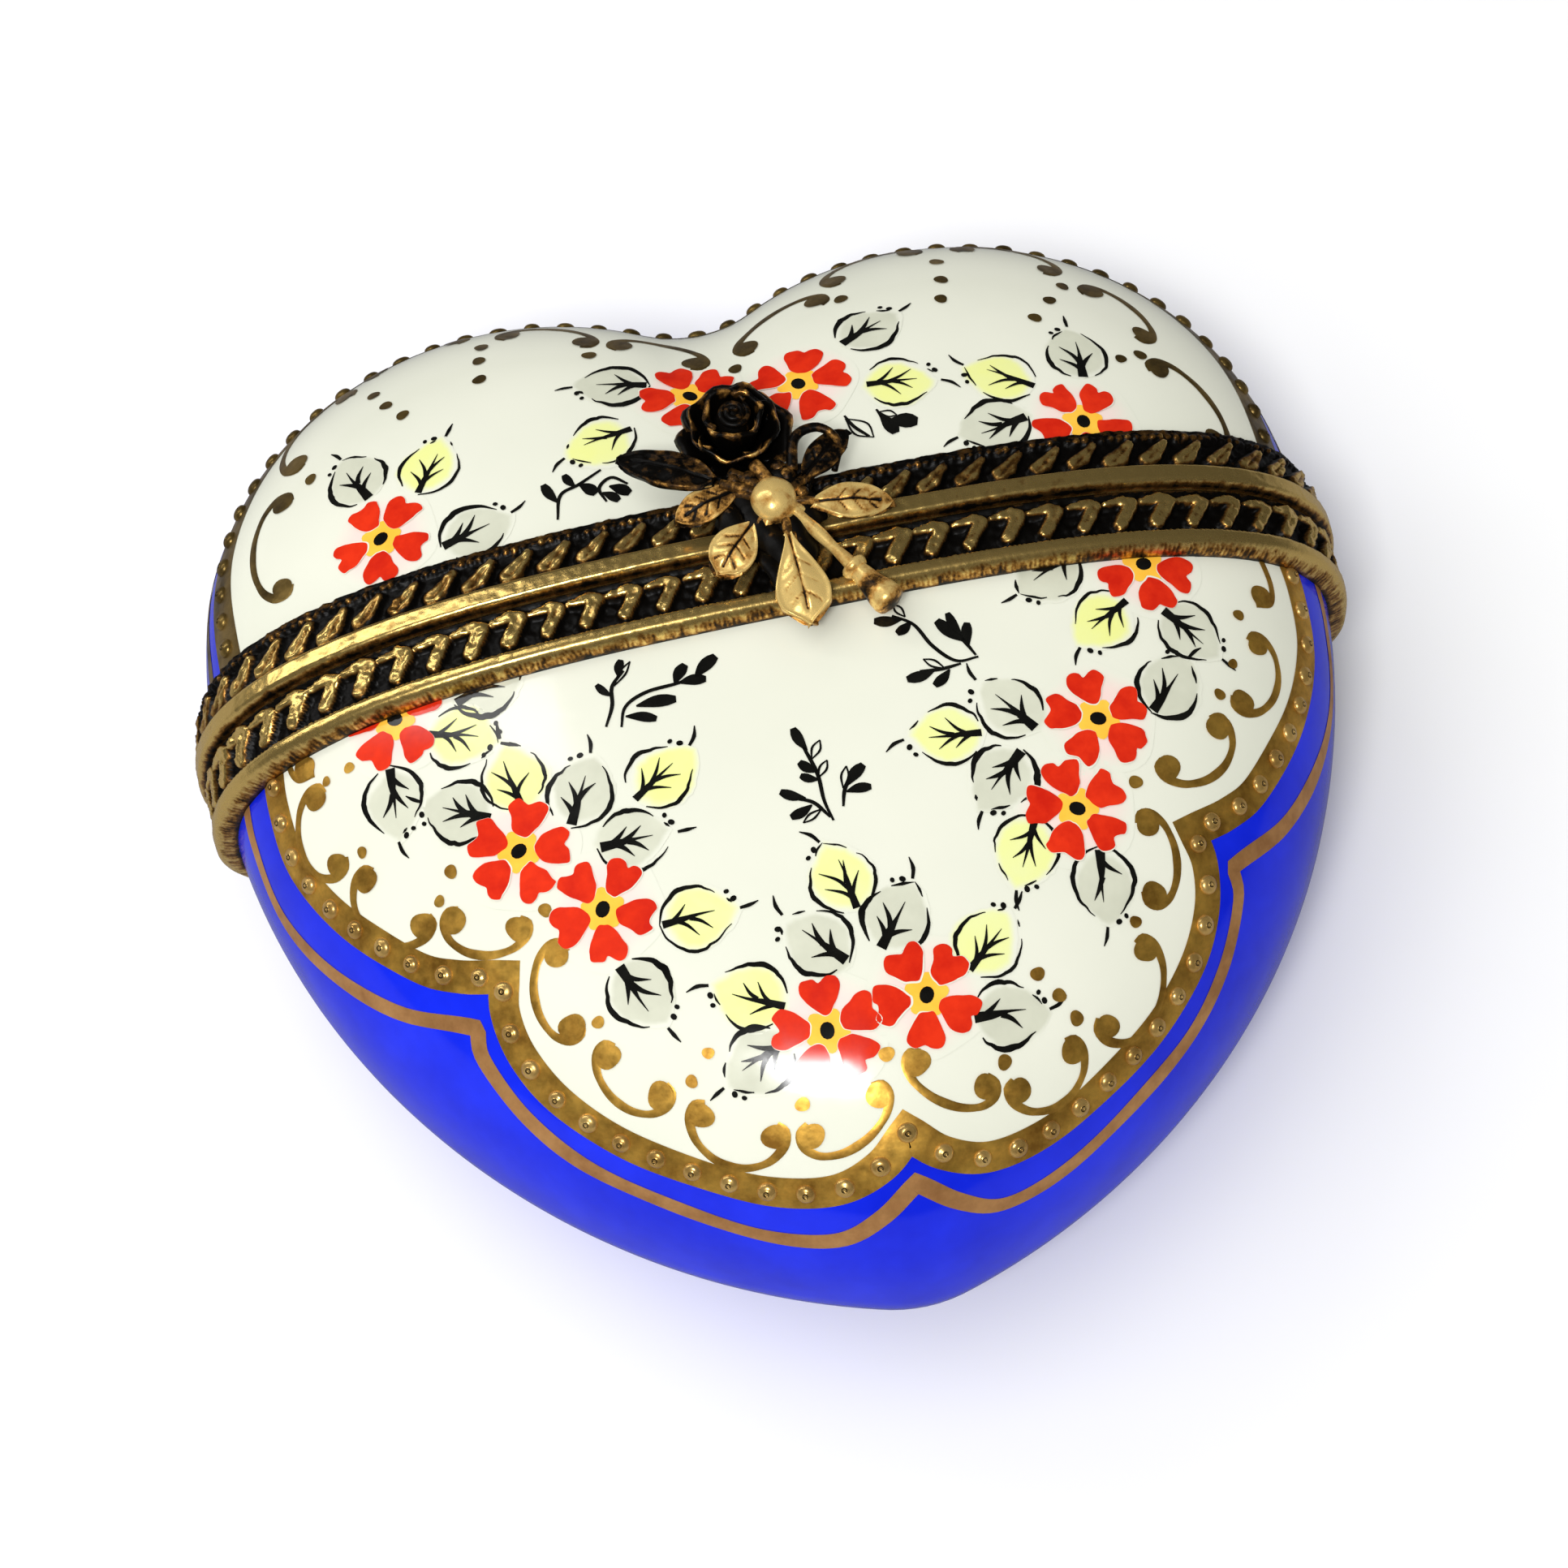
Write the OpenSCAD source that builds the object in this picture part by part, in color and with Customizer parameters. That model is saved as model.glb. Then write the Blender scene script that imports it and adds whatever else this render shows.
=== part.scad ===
/* [Porcelain heart] */
// Radius of each of the two round lobes
lobe_r = 17; // [14:0.5:20]
// Sideways distance of each lobe centre from the middle
lobe_x = 11; // [9:0.5:13]
// Radius of the long flank between lobe and tip
flank_r = 36.3; // [32:0.1:45]
// Radius of the rounded tip
tip_r = 7.4; // [4:0.1:9]
// Radius of the soft notch between the lobes
cleft_r = 6.3; // [4:0.1:9]
// Length of the heart from tip to lobes
heart_l = 55.4; // [50:0.2:60]
// Height of the painted face above the widest line
front_h = 13.4; // [11:0.2:16]
// Depth of the back below the widest line
back_h = 11; // [9:0.2:13]
// Thickness of the porcelain
wall = 2.4; // [2:0.1:3]
// Share of the back that is ground flat as the foot
foot_share = 0.12; // [0.1:0.01:0.2]

/* [Metal mounts] */
// Position of the seam along the heart
seam_y = 6.1; // [4:0.1:8]
// Clear gap between the two closed mounts
seam_gap = 0.2; // [0.1:0.05:0.4]
// Width of each mount along the heart
rim_w = 3.45; // [3:0.05:4]
// Thickness of the sheet over the porcelain
rim_t = 0.75; // [0.6:0.05:1]
// Extra height of the raised mouldings
ridge_h = 0.35; // [0.2:0.05:0.5]

/* [Hinge] */
// Outside radius of the knuckles
barrel_r = 1; // [0.9:0.05:1.2]
// Radius of the hinge pin
pin_r = 0.45; // [0.35:0.05:0.5]
// Radial clearance of the pin in the turning knuckle
pin_clear = 0.05; // [0.03:0.01:0.08]
// Length of the whole hinge barrel
barrel_l = 12; // [10:0.5:14]
// Clear gap between knuckles and beside the leaves
knuckle_gap = 0.1; // [0.08:0.02:0.2]

/* [Rose clasp] */
// Radius of the rose bloom
rose_r = 2.6; // [2:0.1:3]
// Thickness of each cast leaf
leaf_t = 0.5; // [0.4:0.05:0.8]

/* [Quality] */
// Steps across the seam opening of each shell
n_mouth = 44; // [32:4:60]
// Steps round the closed edge of the lower shell
n_edge = 48; // [36:4:60]
// Steps from the crown to the edge
n_rows = 7; // [5:1:9]
// Steps round half of each mount
n_rim = 36; // [24:4:48]

/* [Hidden] */
white = [0.94, 0.95, 0.89];
cobalt = [0.03, 0.10, 0.75];
bronze = [0.62, 0.45, 0.20];
steel = [0.55, 0.50, 0.42];
$fn = 48;

lobe_y = heart_l / 2 - lobe_r;
tip_y = tip_r - heart_l / 2;
crown = [0, -3.5];
foot = [0, -13.5];
mid_z = back_h;
front_pow = 2.8;
front_exp = 0.41;
back_pow = 1.15;
mouth_in = 0.7;
cement = 0.12;
axis_z = barrel_r;
third = barrel_l / 3;

lobe_c = [lobe_x, lobe_y];
tip_c = [0, tip_y];
cleft_c = [0, lobe_y + sqrt(pow(lobe_r + cleft_r, 2) - lobe_x * lobe_x)];
span = norm(lobe_c - tip_c);
axis_u = (lobe_c - tip_c) / span;
reach_l = flank_r - lobe_r;
reach_t = flank_r - tip_r;
along = (reach_t * reach_t - reach_l * reach_l + span * span) / (2 * span);
aside = sqrt(reach_t * reach_t - along * along);
flank_c = tip_c + axis_u * along + [-axis_u.y, axis_u.x] * aside;

function unit(v) = v / norm(v);
function angle(v) = atan2(v.y, v.x);

// joints of the outline arcs, inset by w
function join_cleft(w) = cleft_c + (cleft_r + w) * unit(lobe_c - cleft_c);
function join_lobe(w) = lobe_c + (lobe_r - w) * unit(lobe_c - flank_c);
function join_tip(w) = tip_c + (tip_r - w) * unit(tip_c - flank_c);

// distance from c along d to a circle, far side for k = 1, near side for k = -1
function to_circle(c, d, centre, r, k) =
  let (q = centre - c, m = q * d) m + k * sqrt(r * r - q * q + m * m);

// distance from c to the inset outline at polar angle a, right half
function reach_right(a, w, c) =
  let (d = [cos(a), sin(a)])
  a >= angle(join_cleft(w) - c) ? to_circle(c, d, cleft_c, cleft_r + w, -1)
  : a >= angle(join_lobe(w) - c) ? to_circle(c, d, lobe_c, lobe_r - w, 1)
  : a >= angle(join_tip(w) - c) ? to_circle(c, d, flank_c, flank_r - w, 1)
  : to_circle(c, d, tip_c, tip_r - w, 1);
function reach(a, w, c) =
  let (b = a > 270 ? a - 360 : a) reach_right(b > 90 ? 180 - b : b, w, c);
function outline(a, w) = crown + reach(a, w, crown) * [cos(a), sin(a)];

// half width of the inset outline at height y, on the lobe or on the flank
function half_width(y, w) =
  y > join_lobe(w).y
  ? lobe_c.x + sqrt(pow(lobe_r - w, 2) - pow(y - lobe_c.y, 2))
  : flank_c.x + sqrt(pow(flank_r - w, 2) - pow(y - flank_c.y, 2));

// height of the face and of the back at share s of the way to the edge
function front_z(s, w) =
  mid_z + (front_h - w) * pow(max(0, 1 - pow(min(s, 1), front_pow)), front_exp);
function back_z(s, w) =
  let (t = max(0, min(1, (s - foot_share) / (1 - foot_share))))
  mid_z - (back_h - w) * sqrt(1 - pow(t, back_pow));

// points on the skins: e is the outline point, s the share of the way to it
function face_pt(e, s, w) =
  let (p = s == 1 ? e : crown + s * (e - crown)) [p.x, p.y, front_z(s, w)];
function rear_pt(e, s, w) =
  let (p = s == 1 ? e : foot + s * (e - foot)) [p.x, p.y, back_z(s, w)];

// crowd steps toward 1, and toward both ends of the seam
function late(u) = 1 - (1 - u) * (1 - u);
function ends(v) =
  v < 0.2 ? 3.125 * v * v
  : v > 0.8 ? 1 - 3.125 * (1 - v) * (1 - v)
  : 1.25 * v - 0.125;
function seam_angle(y, w) = atan2(y - crown.y, half_width(y, w));
function mouth_angle(i, y, w) =
  let (a = seam_angle(y, w))
  i == 0 ? a : i == n_mouth ? 180 - a : a + (180 - 2 * a) * ends(i / n_mouth);
function edge_angle(i, y, w) =
  let (a = seam_angle(y, w))
  i == 0 ? 180 - a : i == n_edge ? a : 180 - a + (180 + 2 * a) * i / n_edge;
function corner(i) = i == 0 || i == n_mouth;

// closed-end half: chains run from the seam over the lobes and back to the seam
function lid_point(i, k, y, w) =
  let (e = outline(mouth_angle(i, y, w), w))
  let (sf = corner(i) ? 1 : (y - crown.y) / (e.y - crown.y))
  let (sb = corner(i) ? 1 : (y - foot.y) / (e.y - foot.y))
  corner(i) ? [e.x, y, mid_z]
  : k <= n_rows ? face_pt(e, k == n_rows ? 1 : sf + (1 - sf) * late(k / n_rows), w)
  : rear_pt(e, sb + (1 - sb) * late((2 * n_rows - k) / n_rows), w);
function lid_skin(y, w) =
  [for (i = [0:n_mouth]) for (k = [0:2 * n_rows]) lid_point(i, k, y, w)];
function lid_id(i, k) = i * (2 * n_rows + 1) + k;

// lower half: chains run from the crown outward, and from the edge to the foot
function face_share(k, top) = k == n_rows ? top : top * late(k / n_rows);
function rear_share(k, top) =
  k > n_rows ? 0
  : k == 0 ? top
  : foot_share + (top - foot_share) * late((n_rows - k) / n_rows);
function body_mouth(i, y, w) =
  let (e = outline(mouth_angle(i, y, w), w))
  let (p = corner(i) ? [e.x, y] : e)
  let (sf = corner(i) ? 1 : (y - crown.y) / (e.y - crown.y))
  let (sb = corner(i) ? 1 : (y - foot.y) / (e.y - foot.y))
  concat(
    [for (k = [0:n_rows]) face_pt(p, face_share(k, sf), w)],
    [for (k = [0:n_rows + 1]) rear_pt(p, rear_share(k, sb), w)]);
function body_edge(i, y, w) =
  let (e = outline(edge_angle(i, y, w), w))
  let (p = i == 0 || i == n_edge ? [e.x, y] : e)
  concat(
    [for (k = [0:n_rows]) face_pt(p, face_share(k, 1), w)],
    [for (k = [0:n_rows + 1]) rear_pt(p, rear_share(k, 1), w)]);
row = 2 * n_rows + 3;
function body_skin(y, w) =
  concat(
    [for (i = [0:n_mouth]) each body_mouth(i, y, w)],
    [for (i = [0:n_edge]) each body_edge(i, y, w)]);

// two triangles of a cell, or one where an edge of it has shrunk to a point
function cell(a, b, c, d) = [[a, b, c], [a, c, d]];
function flip(t) = [for (f = t) [f[0], f[2], f[1]]];
function lift(t, n) = [for (f = t) [for (v = f) v + n]];

function lid_faces() = [
  for (i = [0:n_mouth - 1])
    for (k = [0:2 * n_rows - 1])
      let (a = lid_id(i, k), b = lid_id(i + 1, k))
      each i == 0 ? [[a, b, b + 1]]
        : i == n_mouth - 1 ? [[a, b, a + 1]]
        : cell(a, b, b + 1, a + 1)
];
function fan_rows(first, count, k0, k1) = [
  for (i = [0:count - 1])
    for (k = [k0:k1 - 1])
      let (a = first + i * row + k, b = a + row)
      each k == 0 ? [[a, b + 1, a + 1]]
        : k == row - 2 ? [[a, b, b + 1]]
        : cell(a, b, b + 1, a + 1)
];
function body_faces() =
  let (edge0 = (n_mouth + 1) * row)
  concat(
    fan_rows(0, n_mouth, 0, n_rows),
    fan_rows(0, n_mouth, n_rows + 1, row - 1),
    fan_rows(edge0, n_edge, 0, n_rows),
    fan_rows(edge0, n_edge, n_rows + 1, row - 1));

// flat seam face between the outer skin and the inner skin, n points apart
function lid_seam(n) = [
  for (i = [0:n_mouth - 1])
    let (a = lid_id(i, 0), b = lid_id(i + 1, 0))
    let (c = a + 2 * n_rows, d = b + 2 * n_rows)
    each concat(cell(b, a, a + n, b + n), cell(c, d, d + n, c + n))
];
function body_seam(n) = [
  for (i = [0:n_mouth - 1])
    let (a = i * row + n_rows, b = a + row)
    each concat(cell(a, b, b + n, a + n), cell(b + 1, a + 1, a + 1 + n, b + 1 + n))
];

// outline of a cross-section at y, right edge first, face then back
function section_z(x, y, w, c, upper) =
  let (a = atan2(y - c.y, x))
  let (s = norm([x, y - c.y]) / reach(a, w, c))
  upper ? front_z(s, w) : back_z(s, w);
function section(y0, y1, w) =
  let (h0 = half_width(y0, w), h1 = half_width(y1, w))
  let (h = w > 0 ? min(h0, h1) : max(h0, h1))
  concat(
    [for (i = [0:n_rim])
      let (c = cos(180 * i / n_rim))
      let (z0 = section_z(h0 * c, y0, w, crown, true))
      let (z1 = section_z(h1 * c, y1, w, crown, true))
      [h * c, i == 0 || i == n_rim ? mid_z : w > 0 ? min(z0, z1) : max(z0, z1)]],
    [for (i = [n_rim - 1:-1:1])
      let (c = cos(180 * i / n_rim))
      let (z0 = section_z(h0 * c, y0, w, foot, false))
      let (z1 = section_z(h1 * c, y1, w, foot, false))
      [h * c, w > 0 ? max(z0, z1) : min(z0, z1)]]);
function grow(p, d) = [
  for (i = [0:len(p) - 1])
    let (a = p[(i + len(p) - 1) % len(p)], b = p[(i + 1) % len(p)])
    let (t = unit(b - a))
    p[i] + d * [t.y, -t.x]
];

// prism between two heights along the heart
module prism(y0, y1) {
  translate([0, y1, 0])
    rotate([90, 0, 0])
      linear_extrude(y1 - y0)
        children();
}

// one moulding of a mount between y0 and y1, standing t off the porcelain
module moulding(y0, y1, t) {
  prism(y0, y1)
    difference() {
      polygon(grow(section(y0, y1, 0), cement + t));
      polygon(grow(section(y0, y1, 0), cement));
    }
}

// flat mouth and inner sleeve of a mount, between y0 and y1
module mouth_plate(y0, y1, lip0, lip1) {
  prism(y0, y1)
    difference() {
      polygon(grow(section(y0, y1, 0), cement + rim_t));
      polygon(grow(section(lip0, lip1, wall), -0.45));
    }
}
module sleeve(y0, y1, z0, z1) {
  prism(y0, y1)
    difference() {
      polygon(grow(section(z0, z1, wall), -cement));
      polygon(grow(section(z0, z1, wall), -0.45));
    }
}

// room for the hinge barrel in the edges of the mounts
module barrel_room() {
  translate([0, seam_y, axis_z])
    rotate([0, 90, 0])
      cylinder(r = barrel_r + knuckle_gap, h = barrel_l + 2 * knuckle_gap, center = true);
  translate([-barrel_l / 2 - knuckle_gap, seam_y - 0.75, 0])
    cube([barrel_l + 2 * knuckle_gap, 1.5, 2 * barrel_r + 0.15]);
}

module body_shell() {
  y = seam_y - mouth_in;
  outer = body_skin(y, 0);
  n = len(outer);
  color(cobalt)
    polyhedron(
      concat(outer, body_skin(y, wall)),
      concat(body_faces(), flip(lift(body_faces(), n)), body_seam(n)));
}

module lid_shell() {
  y = seam_y + mouth_in;
  outer = lid_skin(y, 0);
  n = len(outer);
  color(white)
    polyhedron(
      concat(outer, lid_skin(y, wall)),
      concat(lid_faces(), flip(lift(lid_faces(), n)), lid_seam(n)));
}

module body_rim() {
  y1 = seam_y - seam_gap / 2;
  y0 = y1 - rim_w;
  color(bronze)
    difference() {
      union() {
        moulding(y0, y0 + 0.35, rim_t);
        moulding(y0 + 0.3, y0 + 1.15, rim_t + ridge_h);
        moulding(y0 + 1.1, y1 - 0.5, rim_t);
        moulding(y1 - 0.6, y1, rim_t + 0.2);
        mouth_plate(seam_y - mouth_in + cement, y1, seam_y - mouth_in - 2, y1);
        sleeve(y1 - 2.6, y1 - 0.2, seam_y - mouth_in - 2, y1);
      }
      barrel_room();
    }
}

module lid_rim() {
  y0 = seam_y + seam_gap / 2;
  y1 = y0 + rim_w;
  color(bronze)
    difference() {
      union() {
        moulding(y0, y0 + 1.05, rim_t + ridge_h);
        moulding(y0 + 1, y1 - 0.6, rim_t);
        moulding(y1 - 0.65, y1 - 0.3, rim_t + 0.2);
        moulding(y1 - 0.35, y1, rim_t);
        mouth_plate(y0, seam_y + mouth_in - cement, y0, seam_y + mouth_in + 2);
        sleeve(y0 + 0.2, y0 + 2, y0, seam_y + mouth_in + 2);
      }
      barrel_room();
      translate([-third / 2 - knuckle_gap, seam_y + 0.4, 0])
        cube([third + 2 * knuckle_gap, 1, 1.35]);
    }
}

// one knuckle between two places along the pin, round a bore of radius r
module knuckle(x0, x1, r) {
  translate([x0, seam_y, axis_z])
    rotate([0, 90, 0])
      difference() {
        cylinder(r = barrel_r, h = x1 - x0);
        translate([0, 0, -1])
          cylinder(r = r, h = x1 - x0 + 2);
      }
}

// web that ties a knuckle to its leaf, clear of the bore
module web(x0, x1, side) {
  z0 = side < 0 ? 0.2 : 0.85;
  difference() {
    translate([x0, side < 0 ? seam_y - 1.3 : seam_y + 0.5, z0])
      cube([x1 - x0, 0.8, side < 0 ? 0.5 : 0.45]);
    translate([x0 - 1, seam_y, axis_z])
      rotate([0, 90, 0])
        cylinder(r = barrel_r - 0.25, h = x1 - x0 + 2);
  }
}

module body_hinge_leaf() {
  color(bronze) {
    for (s = [-1, 1]) {
      x0 = s < 0 ? -barrel_l / 2 : third / 2 + knuckle_gap / 2;
      x1 = s < 0 ? -third / 2 - knuckle_gap / 2 : barrel_l / 2;
      knuckle(x0, x1, pin_r);
      web(x0, x1, -1);
    }
    translate([-barrel_l / 2, seam_y - 2.3, 0.2])
      cube([barrel_l, 1.15, 0.5]);
  }
}

module lid_hinge_leaf() {
  x1 = third / 2 - knuckle_gap / 2;
  color(bronze) {
    knuckle(-x1, x1, pin_r + pin_clear);
    web(-x1, x1, 1);
    translate([-barrel_l / 2, seam_y + 1.2, 0.85])
      cube([barrel_l, 1.55, 0.45]);
  }
}

module hinge_pin() {
  color(steel)
    translate([-barrel_l / 2 - 0.05, seam_y, axis_z])
      rotate([0, 90, 0])
        cylinder(r = pin_r, h = barrel_l + 0.1);
}

// clasp, cast in one spray and soldered to the upper mount
spray_z = mid_z + front_h + 1.72;

module catch_stud() {
  color(bronze)
    translate([0.4, seam_y - 1.7, mid_z + front_h + 0.76])
      cylinder(r = 0.55, h = 0.36);
}

module clasp_tongue() {
  color(bronze)
    translate([0.4, 0, 0]) {
      translate([-2.4, seam_y - 2, spray_z - 0.5])
        cube([4.8, 5.3, 0.5]);
      translate([-2, seam_y + 0.15, spray_z - 0.74])
        cube([4, 0.9, 0.5]);
      translate([0, seam_y - 2, spray_z - 0.5])
        cylinder(r = 1.6, h = 0.5);
    }
}

module rose_bloom() {
  color(bronze)
    translate([-0.3, seam_y + 5.95, mid_z + front_h + 0.3]) {
      rotate_extrude()
        polygon([
          [0, 0], [rose_r * 0.6, 0], [rose_r * 0.96, 0.6], [rose_r, 1.3], [rose_r * 0.94, 1.9],
          [rose_r * 0.78, 2], [rose_r * 0.72, 1.7], [rose_r * 0.66, 2.7], [rose_r * 0.5, 2.9],
          [rose_r * 0.42, 2.5], [rose_r * 0.34, 3.3], [rose_r * 0.12, 3.5], [0, 3.2]
        ]);
      for (i = [0:4])
        rotate([0, 0, 72 * i + 20])
          translate([rose_r * 0.66, 0, 1])
            sphere(r = rose_r * 0.33);
    }
}

// lens-shaped cast leaf from its base, with a rib along the middle
module leaf(length, width) {
  r = (length * length + width * width) / (4 * width);
  linear_extrude(leaf_t)
    translate([length / 2, 0])
      intersection() {
        translate([0, r - width / 2])
          circle(r);
        translate([0, width / 2 - r])
          circle(r);
      }
  translate([length * 0.12, 0, leaf_t - 0.05])
    rotate([0, 90, 0])
      cylinder(r = 0.2, h = length * 0.72);
}

module placed_leaf(x, y, turn, dip, length, width) {
  color(bronze)
    translate([x, y, spray_z + 0.02 + 0.05 * dip])
      rotate([0, 0, turn])
        rotate([0, dip, 0])
          leaf(length, width);
}

module leaf_left() {
  placed_leaf(-1.9, seam_y + 3.1, 147, 6, 5, 2);
}

module leaf_upper() {
  placed_leaf(-0.8, seam_y + 2.5, 195, 0, 3.4, 1.7);
}

module leaf_oval() {
  placed_leaf(-0.8, seam_y + 0.5, 247, 0, 3.1, 2);
}

module leaf_hanging() {
  placed_leaf(0.95, seam_y - 0.5, 271, 5, 4.7, 2.3);
}

module leaf_right() {
  placed_leaf(2.5, seam_y + 0.9, -8, 4, 3.8, 1.8);
}

module leaf_back() {
  placed_leaf(2.3, seam_y + 2.3, 42, 4, 3.6, 1.5);
}

module bud_stem() {
  color(bronze)
    translate([2.1, seam_y - 0.2, spray_z + 0.4])
      rotate([0, 0, -59])
        rotate([0, 94, 0]) {
          cylinder(r = 0.35, h = 4.6);
          translate([0, 0, 3.2])
            cylinder(r1 = 0.45, r2 = 0.8, h = 0.9);
          translate([0, 0, 4.1])
            cylinder(r1 = 0.8, r2 = 0.55, h = 1.6);
        }
}

module bead() {
  color(bronze)
    intersection() {
      translate([0.7, seam_y + 1.4, spray_z + 0.6])
        sphere(r = 1.1);
      translate([-1, seam_y, spray_z + 0.02])
        cube([4, 4, 3]);
    }
}

body_shell();
lid_shell();
body_rim();
lid_rim();
body_hinge_leaf();
lid_hinge_leaf();
hinge_pin();
catch_stud();
clasp_tongue();
rose_bloom();
leaf_left();
leaf_upper();
leaf_oval();
leaf_hanging();
leaf_right();
leaf_back();
bud_stem();
bead();
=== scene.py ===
"""Heart-shaped porcelain box: glaze, painting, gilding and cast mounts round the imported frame."""
import math

import bpy
import bmesh
import numpy as np
from mathutils import Matrix, Vector


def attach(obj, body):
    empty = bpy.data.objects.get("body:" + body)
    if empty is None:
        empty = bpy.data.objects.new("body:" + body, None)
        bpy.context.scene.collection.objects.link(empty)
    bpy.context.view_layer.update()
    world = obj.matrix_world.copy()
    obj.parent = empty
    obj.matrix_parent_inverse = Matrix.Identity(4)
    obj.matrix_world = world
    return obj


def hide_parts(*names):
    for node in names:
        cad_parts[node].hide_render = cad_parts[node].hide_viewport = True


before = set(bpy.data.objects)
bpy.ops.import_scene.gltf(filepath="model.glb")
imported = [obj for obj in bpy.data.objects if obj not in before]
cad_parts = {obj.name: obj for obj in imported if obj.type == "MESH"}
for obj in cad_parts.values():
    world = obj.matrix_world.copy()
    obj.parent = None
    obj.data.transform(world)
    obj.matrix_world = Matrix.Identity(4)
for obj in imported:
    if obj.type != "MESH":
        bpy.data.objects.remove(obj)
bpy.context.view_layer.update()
rng = np.random.default_rng(7)

# ---------------------------------------------------------------- heart, in mm
# The outline, its bulge and the camera come from a numeric fit to the photo's outline.
MM = 0.001
LOBE_R, LOBE_X, FLANK_R, TIP_R, CLEFT_R, HEART_L = 17.0, 11.0, 36.3, 7.4, 6.3, 55.4
FRONT_H, BACK_H, WALL, FOOT_SHARE = 13.4, 11.0, 2.4, 0.12
FRONT_POW, FRONT_EXP, BACK_POW = 2.8, 0.41, 1.15
CROWN_Y, FOOT_Y, MID_Z = -3.5, -13.5, BACK_H
SEAM_Y, MOUTH_IN, RIM_GAP, RIM_W = 6.1, 0.7, 0.1, 3.45
AXIS_Z, BARREL_R, BARREL_L = 1.0, 1.0, 12.0
SPRAY_Z = MID_Z + FRONT_H + 1.72
LOBE = np.array([LOBE_X, HEART_L / 2 - LOBE_R])
TIP = np.array([0.0, TIP_R - HEART_L / 2])
CLEFT = np.array([0.0, LOBE[1] + math.sqrt((LOBE_R + CLEFT_R) ** 2 - LOBE_X ** 2)])


def flank_centre():
    span = np.linalg.norm(LOBE - TIP)
    axis = (LOBE - TIP) / span
    reach_l, reach_t = FLANK_R - LOBE_R, FLANK_R - TIP_R
    along = (reach_t ** 2 - reach_l ** 2 + span ** 2) / (2 * span)
    aside = math.sqrt(reach_t ** 2 - along ** 2)
    return TIP + axis * along + np.array([-axis[1], axis[0]]) * aside


FLANK = flank_centre()


def unit(v):
    return v / np.maximum(np.linalg.norm(v, axis=-1, keepdims=True), 1e-12)


def joins(inset):
    """Where cleft, lobe, flank and tip arcs of the inset outline meet."""
    return (
        CLEFT + (CLEFT_R + inset) * unit(LOBE - CLEFT),
        LOBE + (LOBE_R - inset) * unit(LOBE - FLANK),
        TIP + (TIP_R - inset) * unit(TIP - FLANK),
    )


def reach(ang, inset, cy):
    """Distance from (0, cy) to the inset outline in each direction."""
    ang = np.asarray(ang, float)
    c = np.cos(ang)
    a = np.where(c < 0, np.pi - ang, ang)
    a = (a + np.pi) % (2 * np.pi) - np.pi
    d = np.stack([np.cos(a), np.sin(a)], -1)
    here = np.array([0.0, cy])
    limits = [math.atan2(p[1] - cy, p[0]) for p in joins(inset)]

    def to(centre, r, k):
        q = centre - here
        m = d @ q
        return m + k * np.sqrt(np.maximum(r * r - q @ q + m * m, 0))

    return np.select(
        [a >= limits[0], a >= limits[1], a >= limits[2]],
        [to(CLEFT, CLEFT_R + inset, -1), to(LOBE, LOBE_R - inset, 1), to(FLANK, FLANK_R - inset, 1)],
        to(TIP, TIP_R - inset, 1),
    )


def outline(ang, inset=0.0):
    r = reach(ang, inset, CROWN_Y)
    return np.stack([r * np.cos(ang), CROWN_Y + r * np.sin(ang)], -1)


def half_width(y, inset=0.0):
    y = np.asarray(y, float)
    lobe = LOBE[0] + np.sqrt(np.maximum((LOBE_R - inset) ** 2 - (y - LOBE[1]) ** 2, 0))
    flank = FLANK[0] + np.sqrt((FLANK_R - inset) ** 2 - (y - FLANK[1]) ** 2)
    return np.where(y > joins(inset)[1][1], lobe, flank)


def front_z(s, inset=0.0):
    rise = np.maximum(1 - np.minimum(s, 1) ** FRONT_POW, 0) ** FRONT_EXP
    return MID_Z + (FRONT_H - inset) * rise


def back_z(s, inset=0.0):
    t = np.clip((s - FOOT_SHARE) / (1 - FOOT_SHARE), 0, 1)
    return MID_Z - (BACK_H - inset) * np.sqrt(1 - t ** BACK_POW)


def front_share(z):
    """Share of the way from crown to edge at which the face is z high."""
    t = np.clip((z - MID_Z) / FRONT_H, 0, 1)
    return (1 - t ** (1 / FRONT_EXP)) ** (1 / FRONT_POW)


def share(p, cy):
    d = p[..., :2] - np.array([0.0, cy])
    return np.hypot(d[..., 0], d[..., 1]) / reach(np.arctan2(d[..., 1], d[..., 0]), 0.0, cy)


def face_level(p):
    t = np.maximum((p[..., 2] - MID_Z) / FRONT_H, 0)
    return share(p, CROWN_Y) ** FRONT_POW + t ** (1 / FRONT_EXP) - 1


def snap(p, rounds=4):
    """Nearest points on the glaze and the outward normals there."""
    p = np.array(p, float)
    step = 1e-3
    for k in range(rounds + 1):
        grad = np.stack([
            (face_level(p + step * e) - face_level(p - step * e)) / (2 * step) for e in np.eye(3)
        ], -1)
        size2 = np.maximum((grad ** 2).sum(-1, keepdims=True), 1e-9)
        if k < rounds:
            p = p - np.clip(face_level(p)[..., None] / size2, -50, 50) * grad
    return p, grad / np.sqrt(size2)


def on_face(xy):
    """Points of the face straight above the given plan points."""
    xy = np.asarray(xy, float)
    p = np.concatenate([xy, np.zeros(xy.shape[:-1] + (1,))], -1)
    p[..., 2] = front_z(share(p, CROWN_Y))
    return p


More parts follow.
